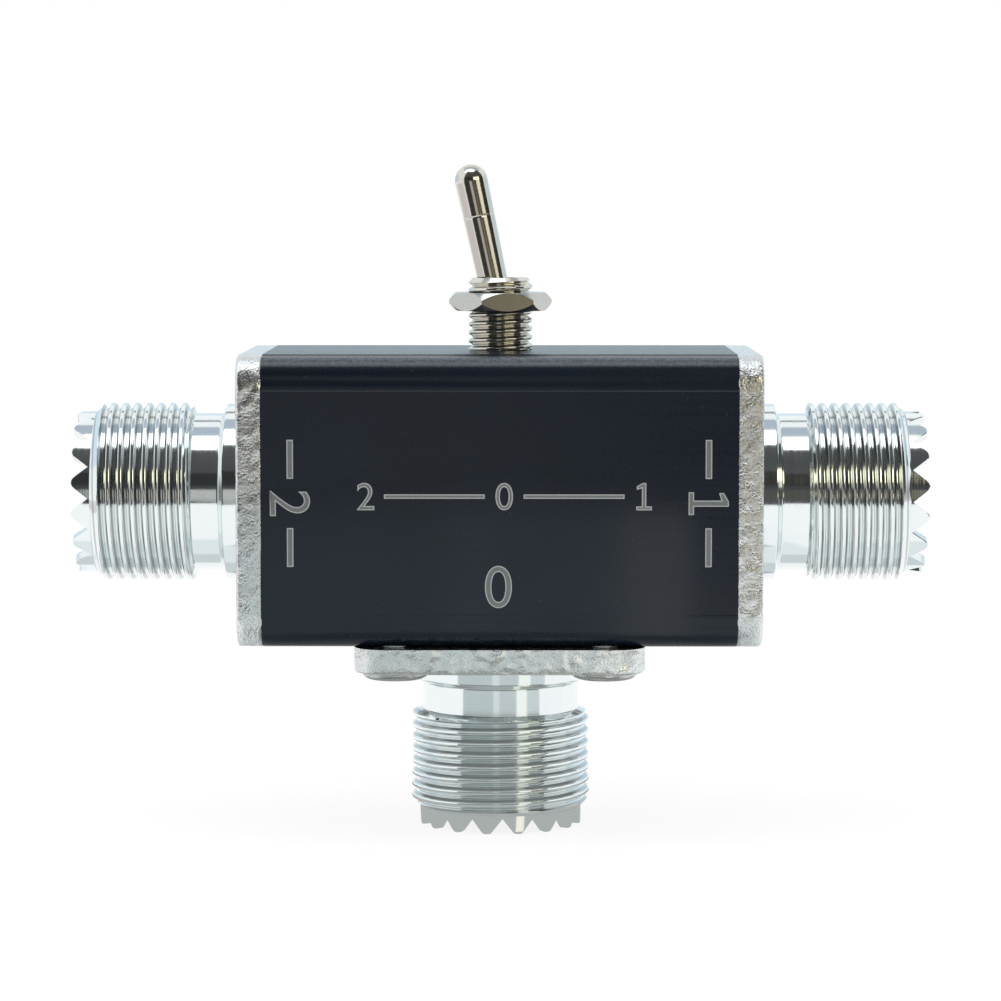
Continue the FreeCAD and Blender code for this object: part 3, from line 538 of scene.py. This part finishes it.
def make_shell(side, sizes, cast, turned, flank):
    """Cast square flange and turned barrel with its coupling thread and toothed rim."""
    turn = getattr(sizes, f"{side}_turn")
    angles = full_turn(256, turn)
    relief = (sizes.bottom_relief if side == "bottom" else sizes.casting_relief) / MM
    rear_hole, shoulder = 5.0, 1.2
    collar, neck, crest = 7.85, 7.0, 7.9375
    rows, slots = [], []

    def add(slot, *outline):
        rows.extend(circles_of(outline, angles))
        slots.extend([slot] * len(outline))

    # shoulder and rear face, which lies on the housing
    add(0, (rear_hole, shoulder), (rear_hole, 0.0),
        ((rear_hole + flange_edge(angles, 0.1)) / 2, 0.0), (flange_edge(angles, 0.08), 0.0))
    # side walls and eased front edge, uneven from the mould
    edge = 0.3
    walls = [(0.0, level) for level in (0.08, 0.35, 0.65, 0.95, 1.25, 1.55, FLANGE - edge)]
    walls += [(edge * (1 - math.cos(bend)), FLANGE - edge * (1 - math.sin(bend)))
              for bend in np.radians((30, 60, 88))]
    for inset, level in walls:
        rows.append(rough_cast(circle_of(flange_edge(angles, inset), level, angles), relief))
        slots.append(0)
    inner = flange_edge(angles, edge)
    add(0, *[(inner + (8.1 - inner) * share, FLANGE) for share in (0.3, 0.6, 0.85)])
    # collar, its bright bevel, and the neck
    add(1, (8.05, FLANGE), *softened(((8.0, FLANGE), (collar, 2.25), (collar, 3.8), (neck, 4.22),
                                      (neck, 6.6)), 0.07))
    # coupling thread, with a run-in and a run-out
    first = len(rows)
    rows += thread_rows(angles, sizes.coupling_pitch / MM, sizes.coupling_depth / MM,
                        (6.601, 6.95, 14.7, 15.4375), (neck, crest, crest, RIM))
    last = len(rows)
    # painted shade: the rows on the thread's flank faces take the greyer finish
    shaded_flank_rows = [0.2 < phase < 0.3 or 0.6 < phase < 0.7 for phase, _ in THREAD_FORM]
    slots += [2 if shaded_flank_rows[row % len(shaded_flank_rows)] else 1 for row in range(last - first)]
    # toothed rim, with its edges just broken, and the bore behind it
    outer, foot, broken = tooth_tops(RIM, angles, turn), 15.47, 0.07
    add(1, (RIM, foot), (RIM, (foot + outer - broken) / 2), (RIM, outer - broken))
    add(1, *[(radius, tooth_tops(radius, angles, turn)) for radius in (7.14, 6.76, 6.385)])
    add(1, *[(BORE, level) for level in (tooth_tops(BORE, angles, turn) - broken, 15.3, 8.4,
                                         shoulder + 0.05)])
    add(0, (6.25, shoulder))
    return loft(f"{side}_shell", rows, (cast, turned, flank), slots, closed=True,
                thread=(first, last))


def at_each_corner(name, maker):
    """One object of maker's pieces at a flange's four screws, each turned as a driver left it."""
    pieces = []
    for number, (across, along) in enumerate(((1, 1), (-1, 1), (-1, -1), (1, -1))):
        piece = maker()
        left_at = math.radians((37 + 53 * number) % 90)
        piece.matrix_world = (Matrix.Translation((across * SCREW_AT * MM, along * SCREW_AT * MM, 0))
                              @ Matrix.Rotation(left_at, 4, "Z"))
        pieces.append(piece)
    return joined(name, pieces)


def make_screw(corners, top, material):
    """A turned screw with a cross recess."""
    wing, reach = 0.28, 1.45
    quarter = ((reach, -wing), (reach, wing), (wing, wing))
    cross = [(x * cosine - y * sine, x * sine + y * cosine)
             for cosine, sine in ((1, 0), (0, 1), (-1, 0), (0, -1)) for x, y in quarter]
    rows = [np.array([(x * scale, y * scale, top + level) for x, y in cross])
            for scale, level in ((0.0, 0.3), (1.08, 0.3), (1.0, 0.0), (0.42, -1.15), (0.0, -1.3))]
    return cut(lathe("screw", corners, material, 0.08, 64), loft("recess", rows, (material,)))


class SWITCH_OT_sockets(bpy.types.Operator):
    """Build the three socket shells: cast flange, threaded barrel and toothed rim"""
    bl_idname = "switch.sockets"
    bl_label = "Socket shells"

    def execute(self, context):
        sizes, colours = context.scene.switch_sizes, context.scene.switch_colours
        # turning marks are rings about the barrel, some 0.15 mm apart: a mirror with some grain
        turned = worked_metal("bright nickel plate, turned", colours.turned_nickel, 0.95, 0.10,
                              0.035, (30, 30, 0.15), 0.0012)
        # the thread's flank faces are painted greyer than its crests: painted shade down in the
        # thread
        flank = worked_metal("nickel plate, thread flanks with painted shade", colours.flank_shade_nickel, 0.95, 0.14,
                             0.035, (30, 30, 0.15), 0.0012)
        # straight holes below, and countersunk ones at the ends
        straight = ((0, -0.5), (1.65, -0.5), (1.65, 2.7), (0, 2.7))
        sunk = ((0, -0.5), (1.55, -0.5), (1.55, 0.87), (2.86, 2.18), (2.86, 2.7), (0, 2.7))
        for side in SIDES:
            # the lower flange came from a cooler die, so its creases are deeper
            hole, crease = (straight, 0.4) if side == "bottom" else (sunk, 0.16)
            cast = nickel_plated_casting(f"nickel-plated die-cast zinc, {side}",
                                         colours.cast_nickel, crease)
            shell = make_shell(side, sizes, cast, turned, flank)
            cut(shell, at_each_corner("holes", lambda: lathe("hole", hole, cast, columns=48)))
            settle(shaded(shell, 34), "nickel_shell", f"{side}_socket_shell",
                   place=socket_place(side))
        return {"FINISHED"}


class SWITCH_OT_socket_insides(bpy.types.Operator):
    """Finish the insulators, retaining rings and centre contacts"""
    bl_idname = "switch.socket_insides"
    bl_label = "Socket insides"

    def execute(self, context):
        colours = context.scene.switch_colours
        # skived and pressed PTFE: waxy white that lets a little light in
        ptfe = moulded_plastic("PTFE, turned", colours.insulator, 0.45, 0.25, 0.006, 0.2)
        # rolled strip under barrel plating: a pale grey, evenly dull
        ring = worked_metal("nickel-plated spring steel", colours.screw, 0.9, 0.22, 0.06,
                            (0.4, 0.4, 0.4), 0.002)
        # thin gold over nickel: warm, clean and bright, with turning rings
        gold = worked_metal("gold-flashed brass, turned", colours.contact, 0.93, 0.18, 0.05,
                            (0.6, 0.6, 0.2), 0.0015)
        for side in SIDES:
            dress(ptfe, f"{side}_socket_insulator")
            dress(ring, f"{side}_socket_ring")
            dress(gold, f"{side}_centre_contact")
        return {"FINISHED"}


class SWITCH_OT_screws(bpy.types.Operator):
    """Build the flush end screws and the pan-head screws under the bottom flange"""
    bl_idname = "switch.screws"
    bl_label = "Screws"

    def execute(self, context):
        # cold-headed steel, zinc plated: a cool grey with soft mottling
        zinc = worked_metal("zinc-plated steel, cold headed", context.scene.switch_colours.screw,
                            0.85, 0.28, 0.08, (0.5, 0.5, 0.5), 0.004)
        radius, head, pan_top = 1.5, 2.85, 2.9
        flush = ((0, -6.0), (radius, -6.0), (radius, 0.9), (2.8, FLANGE), (0, FLANGE))
        pan = ((0, -5.5), (radius, -5.5), (radius, FLANGE), (head, FLANGE), (head, 2.6, 0.3),
               (2.35, pan_top, 0.3), (0, pan_top))
        for side in SIDES:
            corners, top = (pan, pan_top) if side == "bottom" else (flush, FLANGE)
            screws = at_each_corner(f"{side}_screw_set", lambda: make_screw(corners, top, zinc))
            settle(shaded(screws), "screw_steel", f"{side}_screws", place=socket_place(side))
        return {"FINISHED"}


# ---------- toggle
def make_bushing(sizes, material):
    """Threaded bushing with a base flange below the wall and a seat for the lever's ball."""
    angles = full_turn(160)
    crest, flange, seat = 2.85, 3.5, 2.06
    below, low, high = -4.85, -3.3, 3.45
    outside = softened(((2.5, -5.85), (flange, -5.85), (flange, below), (crest, below),
                        (crest, low)), 0.06)
    inside = softened(((2.4, high), (2.3, high), (seat, 2.0), (seat, -2.0), (2.5, -5.8)), 0.06)
    thread = thread_rows(angles, sizes.bushing_pitch / MM, sizes.bushing_depth / MM,
                         (low, 3.0, high), (crest, crest, 2.42))
    first = len(outside)
    return loft("bushing", circles_of(outside, angles) + thread + circles_of(inside, angles),
                (material,), closed=True, thread=(first, first + len(thread)))


def make_nut(material):
    """Hexagon nut: a hexagonal bar cut by a turned shape, so its chamfers leave curved edges."""
    flat, thick, bore, slope = 4.0, 1.6, 2.84, math.radians(46)
    corner = flat / math.cos(math.pi / 6)
    bar = ((0, -1), (corner, -1), (corner, thick + 1), (0, thick + 1))
    nut = loft("nut", circles_of(bar, full_turn(6)), (material,))
    apex = flat + thick / 2 / math.tan(slope)
    cut(nut, lathe("nut_limits", ((0, 0), (flat, 0), (apex, thick / 2), (flat, thick), (0, thick)),
                   material, columns=128), "INTERSECT")
    cut(nut, lathe("nut_bore", ((0, -1), (bore, -1), (bore, 3), (0, 3)), material))
    bevel = nut.modifiers.new("edges", "BEVEL")
    bevel.width, bevel.segments, bevel.limit_method = 0.05 * MM, 2, "ANGLE"
    bevel.angle_limit = math.radians(25)
    return flat_sided(applied(nut), 30)


def make_lever(material):
    """Bat lever with its tip, faint tool ring, ball and bored tail, upright about its pivot."""
    round_tip, tip_at, neck, ball, tail, pin_hole = 1.46, 12.29, 1.32, 2.0, 0.6, 0.43
    outline = [(0, -3.7), (tail, -3.7), (tail, -6.9), (0.93, -6.9), (1.0, -6.83)]
    outline += [(ball * math.cos(bend), ball * math.sin(bend))
                for bend in np.linspace(-math.pi / 3, 0.85, 18)]
    outline += [(neck, 1.7), (neck, 3.45), (1.408, 9.0), (1.386, 9.05), (1.386, 9.12),
                (1.41, 9.17)]
    outline += [(round_tip * math.cos(bend), tip_at + round_tip * math.sin(bend))
                for bend in np.linspace(0, math.pi / 2, 14)]
    lever = loft("lever", circles_of(supported(outline), full_turn(128)), (material,))
    cross_hole = lathe("cross_hole", ((0, -3), (pin_hole, -3), (pin_hole, 3), (0, 3)), material,
                       columns=32)
    cross_hole.matrix_world = Matrix.Rotation(math.pi / 2, 4, "X")
    return cut(lever, cross_hole)


class SWITCH_OT_toggle(bpy.types.Operator):
    """Build the toggle's threaded bushing, nut and bat lever"""
    bl_idname = "switch.toggle"
    bl_label = "Toggle"

    def execute(self, context):
        sizes, colours = context.scene.switch_sizes, context.scene.switch_colours
        # nickel on turned brass: warmer than the sockets, with fine rings from the lathe
        nickel = worked_metal("nickel-plated brass, turned", colours.toggle_nickel, 0.92, 0.13,
                              0.04, (20, 20, 0.12), 0.0012)
        # barrel-plated nuts come out a little greyer and softer
        plain = worked_metal("nickel-plated brass, barrel plated", colours.nut_nickel, 0.9, 0.17,
                             0.05, (0.5, 0.5, 0.5), 0.0015)
        upright = Matrix.Translation(Vector((0.0, 0.0, PIVOT_AT)) * MM)
        settle(shaded(make_bushing(sizes, nickel), 34), "nickel_bushing", "toggle_bushing",
               place=upright)
        settle(make_nut(plain), "nickel_bushing", "bushing_nut",
               place=Matrix.Translation((0, 0, NUT_AT * MM))
               @ Matrix.Rotation(sizes.nut_turn, 4, "Z"))
        settle(shaded(make_lever(nickel), 40), "nickel_lever", "toggle_lever",
               place=upright @ Matrix.Rotation(-sizes.lever_lean, 4, "Y"), body="lever")
        return {"FINISHED"}


class SWITCH_OT_works(bpy.types.Operator):
    """Finish the pieces inside: frame, case, rocker, terminals, wires, pin, plunger and spring"""
    bl_idname = "switch.works"
    bl_label = "Works"

    def execute(self, context):
        colours = context.scene.switch_colours
        # pressed from tinned strip: fine rolling lines along X under a dull bloom
        tinned = worked_metal("tinned steel, rolled", colours.tinned, 0.85, 0.34, 0.08,
                              (6, 0.25, 0.25), 0.002)
        # wood-flour phenolic: deep blue, half matt, slightly cloudy
        phenolic = moulded_plastic("phenolic, moulded", colours.case, 0.4, 0.3, 0.008)
        # rolled and plated contact strip: pale, warm silver
        silver = worked_metal("silver-plated copper, rolled", colours.silver, 0.8, 0.24, 0.07,
                              (0.25, 0.25, 4), 0.002)
        # drawn through a die and tinned: soft grey, with long faint scratches
        wire = worked_metal("tinned copper wire, drawn", colours.tinned, 0.85, 0.28, 0.06,
                            (4, 0.3, 0.3), 0.002)
        # ground and polished steel: tight bright grain
        steel = worked_metal("spring steel, ground", colours.screw, 0.9, 0.2, 0.05,
                             (0.2, 2, 0.2), 0.001)
        # acetal: smooth ivory with a waxy sheen
        acetal = moulded_plastic("acetal, moulded", colours.insulator, 0.35, 0.3, 0.004, 0.1)
        dress(tinned, "switch_frame")
        dress(phenolic, "switch_case")
        dress(silver, "rocker_contact", "common_terminal", "left_terminal", "right_terminal")
        dress(wire, "common_wire", "left_wire", "right_wire")
        dress(steel, "lever_pivot_pin", "lever_spring")
        dress(acetal, "lever_plunger")
        return {"FINISHED"}


# ---------- housing and its marks
class SWITCH_OT_housing(bpy.types.Operator):
    """Build the extruded housing: its solid's shape with the steps beside its bands sloped"""
    bl_idname = "switch.housing"
    bl_label = "Housing"

    def execute(self, context):
        slope = context.scene.switch_sizes.band_slope / MM
        solid, near = NODES["housing"].data, 0.005
        corners = np.array([corner.co[:] for corner in solid.vertices]) / MM
        moved = 0
        for corner in corners:
            from_middle = corner - (0.0, 0.0, AXIS_AT)
            for across, out in ((1, 2), (2, 1)):
                aside, away = from_middle[across], from_middle[out]
                if abs(abs(aside) - BAND_HALF) < near and abs(abs(away) - CORE_HALF) < near:
                    corner[across] += math.copysign(slope, aside)
                    moved += 1
        if not moved:
            raise RuntimeError("the housing's bands weren't found")
        mesh = new_mesh("housing_skin", corners, [list(face.vertices) for face in solid.polygons],
                        black_anodised_aluminium(context.scene.switch_colours.anodised))
        housing = new_object("housing_skin", welded(mesh))
        settle(flat_sided(housing, 35), "anodised_housing", "housing")
        return {"FINISHED"}


def numeral(text, height):
    """The outline of a numeral of the given height as a filled curve, and what centres it."""
    words = bpy.data.curves.new("numeral", "FONT")
    words.body = text
    writing = new_object("numeral", words)
    bpy.context.view_layer.update()
    box = np.array([corner[:] for corner in writing.bound_box])
    words.size = height * MM / (box[:, 1].max() - box[:, 1].min())
    middle = (box.max(0) + box.min(0)) / 2 * words.size
    return writing, Matrix.Translation((-middle[0], -middle[1], 0))


def drawn(name, points):
    """A closed outline of straight lines about its own middle, in mm, as a filled curve, with no
    centring left to do."""
    curve = bpy.data.curves.new(name, "CURVE")
    curve.dimensions, curve.fill_mode = "2D", "BOTH"
    line = curve.splines.new("POLY")
    line.points.add(len(points) - 1)
    for point, (x, y) in zip(line.points, points):
        point.co = (x * MM, y * MM, 0, 1)
    line.use_cyclic_u = True
    return new_object(name, curve), Matrix.Identity(4)


def rule(length, thickness):
    """A straight bar."""
    x, y = length / 2, thickness / 2
    return drawn("rule", ((-x, -y), (x, -y), (x, y), (-x, y)))


def one(height):
    """A figure one with its flag and foot."""
    shape = ((-0.28, -0.5), (0.28, -0.5), (0.28, -0.38), (0.07, -0.38), (0.07, 0.5), (-0.05, 0.5),
             (-0.26, 0.38), (-0.26, 0.27), (-0.07, 0.33), (-0.07, -0.38), (-0.28, -0.38))
    return drawn("one", [(x * height, y * height) for x, y in shape])


def etch(name, drawings, lift, wider, material):
    """Turn drawings on the front face into one plate of bared metal, which stands on it by lift,
    in metres. Each stroke grows by wider on both its sides, in mm."""
    plates = []
    for (drawing, centring), x, z, turn in drawings:
        stroke = new_object("stroke", drawing.data.copy())
        stroke.data.offset = wider * MM
        plate = new_object("plate", evaluated(stroke))
        bpy.data.objects.remove(stroke)
        plate.matrix_world = (Matrix.Translation((x * MM, -HALF * MM - lift, z * MM))
                              @ Matrix.Rotation(math.radians(turn), 4, "Y")
                              @ Matrix.Rotation(math.pi / 2, 4, "X") @ centring)
        plates.append(plate)
    whole = joined(name, plates)
    whole.data.materials.append(material)
    settle(whole, "anodised_housing")


class SWITCH_OT_marks(bpy.types.Operator):
    """Etch the plain numerals and rules on the front face"""
    bl_idname = "switch.marks"
    bl_label = "Marks"

    def execute(self, context):
        sizes, colours = context.scene.switch_sizes, context.scene.switch_colours
        bare = etched_aluminium("etched aluminium", colours.etched)
        core = etched_aluminium("etched aluminium, stroke middle", colours.etched_core)
        drawings = []
        # at the ends, figures on their sides, each between two rules
        large, small, line_at = 3.4, 2.3, 30.4
        for figure, x in ((numeral("2", large), -18.0), (one(large), 17.95)):
            drawings.append((figure, x, AXIS_AT, 90))
            drawings += [(rule(3.3, 0.5), x, AXIS_AT + shift, 90) for shift in (3.8, -3.8)]
        # across the middle, three figures joined by rules, and one more below
        drawings += [(figure, x, line_at, 0)
                     for figure, x in ((numeral("2", small), -11.5), (numeral("0", small), 0.4),
                                       (one(small), 12.4))]
        drawings += [(rule(8.6, 0.32), x, line_at, 0) for x in (-5.6, 6.4)]
        drawings.append((numeral("0", 3.6), -0.1, 22.6, 0))
        etch("etched_marks", drawings, sizes.etch_height, 0.03, bare)
        etch("etched_mark_cores", drawings, 1.6 * sizes.etch_height, -0.07, core)
        for (drawing, _), *_ in drawings:
            bpy.data.objects.remove(drawing)
        return {"FINISHED"}


# ---------- stage
def glow(name, colour, strength):
    """A card's face as a reflection shows it."""
    material, tree = new_material(name)
    light = add_node(tree, "ShaderNodeEmission", {"Color": colour, "Strength": strength})
    add_node(tree, "ShaderNodeOutputMaterial", {"Surface": light})
    return material


def seen_directly(tree):
    """1 for a ray of the camera, a reflection or a look through glass, else 0."""
    path = add_node(tree, "ShaderNodeLightPath").outputs
    first = add_node(tree, "ShaderNodeMath", {
        0: path["Is Camera Ray"], 1: path["Is Glossy Ray"]}, operation="MAXIMUM")
    return add_node(tree, "ShaderNodeMath", {
        0: first, 1: path["Is Transmission Ray"]}, operation="MAXIMUM")


def card(name, lower, upper, colour, strength=1.0):
    """A studio card that only reflections see, between two rows of points in mm."""
    count = len(lower)
    faces = [(i, i + 1, count + i + 1, count + i) for i in range(count - 1)]
    mesh = new_mesh(name, [*lower, *upper], faces, glow(name, linear(colour), strength))
    sheet = new_object(name, mesh)
    sheet.visible_camera = sheet.visible_diffuse = sheet.visible_shadow = False
    sheet.visible_transmission = sheet.visible_volume_scatter = False


def arc(radius, level, start, end):
    """Points round the vertical axis, in mm, between angles in degrees to the right of front."""
    return [(radius * math.sin(bend), -radius * math.cos(bend), level)
            for bend in np.radians(np.linspace(start, end, 25))]


def bent_card(name, lower, upper, start, end, colour, strength=1.0):
    """A card between two arcs, each given by its radius and level."""
    card(name, arc(*lower, start, end), arc(*upper, start, end), colour, strength)


def flat_card(name, left, right, near, far, level, colour):
    """A level card over a rectangle."""
    card(name, [(left, near, level), (right, near, level)],
         [(left, far, level), (right, far, level)], colour)


def aim(thing, place, target):
    """Put a lamp or the camera in its place and turn it to its target."""
    thing.location = place
    thing.rotation_euler = (Vector(target) - thing.location).to_track_quat("-Z", "Y").to_euler()


class SWITCH_OT_stage(bpy.types.Operator):
    """Set up the pale floor, the plain studio light and the camera"""
    bl_idname = "switch.stage"
    bl_label = "Stage"

    def execute(self, context):
        scene = context.scene
        scene.view_settings.view_transform = "Standard"

        world = bpy.data.worlds.new("studio")
        world.use_nodes = True
        tree = world.node_tree
        tree.nodes.clear()
        white, soft = [add_node(tree, "ShaderNodeBackground", {
            "Color": (1, 1, 1, 1), "Strength": level}) for level in (1.0, 0.75)]
        both = add_node(tree, "ShaderNodeMixShader", {0: seen_directly(tree), 1: soft, 2: white})
        add_node(tree, "ShaderNodeOutputWorld", {"Surface": both})
        scene.world = world

        # pale floor: its shine as seen comes mostly from itself, and the rest keeps the shadow
        material, tree = new_material("pale floor")
        matt = add_node(tree, "ShaderNodeBsdfDiffuse", {"Color": linear("#F4F4F2")})
        lit = add_node(tree, "ShaderNodeEmission", {"Strength": 1.08})
        share = add_node(tree, "ShaderNodeMath", {
            0: seen_directly(tree), 1: 0.8}, operation="MULTIPLY")
        mixed = add_node(tree, "ShaderNodeMixShader", {0: share, 1: matt, 2: lit})
        add_node(tree, "ShaderNodeOutputMaterial", {"Surface": mixed})
        far = 6000
        corners = [(-far, -far, 0), (far, -far, 0), (far, far, 0), (-far, far, 0)]
        new_object("floor", new_mesh("floor", corners, [(0, 1, 2, 3)], material))

        # dark flag in front, in three bands, over a low wall and papers on the table
        around = 300
        for low, high, colour in ((67, 97, "#424445"), (97, 206, "#333434"), (206, 777, "#4D4E4F")):
            bent_card(f"dark_flag{low}", (around, low), (around, high), -52, 94, colour)
        for start, end, wall, paper in (
                (-52, -14, "#3C3C3B", "#3C3C3B"), (-14, -4, "#BDBDBB", "#B0B2B1"),
                (-4, 3, "#C8BCA4", "#A8A498"), (3, 13, "#50504E", "#50504E"),
                (13, 20.5, "#8A8374", "#50504E"), (20.5, 94, "#50504E", "#50504E")):
            bent_card(f"low_wall{start}", (around, 1), (around, 67), start, end, wall)
            bent_card(f"table_paper{start}", (139, 1), (around, 1), start, min(end, 60), paper)
        bent_card("lilac_paper", (around, 1), (150, 1), -180, -60, "#E0DDE2")
        # warm lamp: a broad head, a small one below it, and its foot
        bent_card("lamp_head", (290, 112), (290, 205), 16, 58, "#FFF4D0", 2.6)
        bent_card("lamp_low", (290, 70), (290, 125), 33, 57, "#F8F1DC", 1.1)
        bent_card("lamp_foot", (288, 15), (288, 41), 21, 31, "#FFE9C4", 1.2)
        # battens overhead and behind, and a painted shadow on the table under each end of the
        # housing
        for near, far, colour in ((25, 205, "#B4BFCB"), (376, 450, "#87929A")):
            flat_card(f"batten{near}", -300, 300, near, far, 500, colour)
        # painted shadow: grey cards under the housing's ends, seen only in reflections
        for left in (-60, 22):
            for near, far, colour in ((-15, 0, "#EBF0F1"), (0, 13, "#D3D9DB")):
                flat_card(f"shade{left}_{near}", left, left + 38, near, far, 0.2, colour)
        bent_card("pale_blue_behind", (around, 43), (around, 170), 100, 260, "#DAECF6")
        # bent papers before the bottom socket, light above and darker near the table, where the
        # lower row, bar its bright stripe, is painted shade of the part; each has its top, and the
        # last is low, to stay clear under the right flange
        close = 30
        stripes = ((-50, -9, 28), (-9, -1, 28), (-1, 21, 28), (21, 35, 28), (35, 53, 17))
        for low, high, colours in (
                (7.1, 28, ("#C4CCCC", "#DEE4E6", "#C8CFD0", "#FFFFFA", "#D2DADA")),
                (0.4, 7.1, ("#838885", "#969995", "#828581", "#FFFBEA", "#838683"))):
            for (start, end, top), colour in zip(stripes, colours):
                bent_card(f"bent_paper{low}_{start}", (close, low), (close, min(high, top)),
                          start, end, colour)
        bent_card("side_paper", (close, 0.4), (close, 17), 56, 94, "#FFFFFF")
        # painted shadow under it: grey sheets at the table, with a streak of the light that comes
        # in between the papers
        bent_card("shadow_mat_edge", (close, 0.1), (21, 0.1), -180, 180, "#8E908E")
        bent_card("shadow_mat", (21, 0.1), (3, 0.1), -180, 180, "#B4B6B4")
        streak = ((21, 19.4, 29.2), (11, 15.3, 23), (8, 12, 18))
        for (outer, *spread), (inner, *narrower) in zip(streak, streak[1:]):
            card(f"streak{outer}", arc(outer, 0.15, *spread), arc(inner, 0.15, *narrower),
                 "#FFFBEA")

        softbox = bpy.data.lights.new("softbox", "AREA")
        softbox.shape, softbox.size, softbox.size_y = "RECTANGLE", 0.6, 0.5
        softbox.energy = 1.4
        aim(new_object("softbox", softbox), (-0.12, -0.15, 0.75), (0, 0, 0.03))

        scene.camera = new_object("camera", bpy.data.cameras.new("camera"))
        scene.camera.data.lens, scene.camera.data.clip_start = 127.2, 0.01
        aim(scene.camera, (0.002, -0.3152, 0.0554), (0, 0, 0.029))
        return {"FINISHED"}


# ---------- panel and registration
class SWITCH_PT_looks(bpy.types.Panel):
    """Sizes, colours and pieces of the antenna switch"""
    bl_idname = "SWITCH_PT_looks"
    bl_label = "Antenna switch"
    bl_space_type = "VIEW_3D"
    bl_region_type = "UI"
    bl_category = "Switch"

    def draw(self, context):
        for group in (context.scene.switch_sizes, context.scene.switch_colours):
            box = self.layout.box()
            for name in type(group).__annotations__:
                box.prop(group, name)
        for operator in OPERATORS:
            self.layout.operator(operator.bl_idname)


OPERATORS = (SWITCH_OT_stage, SWITCH_OT_housing, SWITCH_OT_sockets, SWITCH_OT_socket_insides,
             SWITCH_OT_screws, SWITCH_OT_toggle, SWITCH_OT_works, SWITCH_OT_marks)
CLASSES = (SwitchSizes, SwitchColours, *OPERATORS, SWITCH_PT_looks)


def register():
    for kind in CLASSES:
        bpy.utils.register_class(kind)
    bpy.types.Scene.switch_sizes = bpy.props.PointerProperty(type=SwitchSizes)
    bpy.types.Scene.switch_colours = bpy.props.PointerProperty(type=SwitchColours)


def unregister():
    del bpy.types.Scene.switch_colours
    del bpy.types.Scene.switch_sizes
    for kind in reversed(CLASSES):
        bpy.utils.unregister_class(kind)


def main():
    register()
    for operator in OPERATORS:
        group, name = operator.bl_idname.split(".")
        getattr(getattr(bpy.ops, group), name)()


if __name__ == "__main__":
    main()
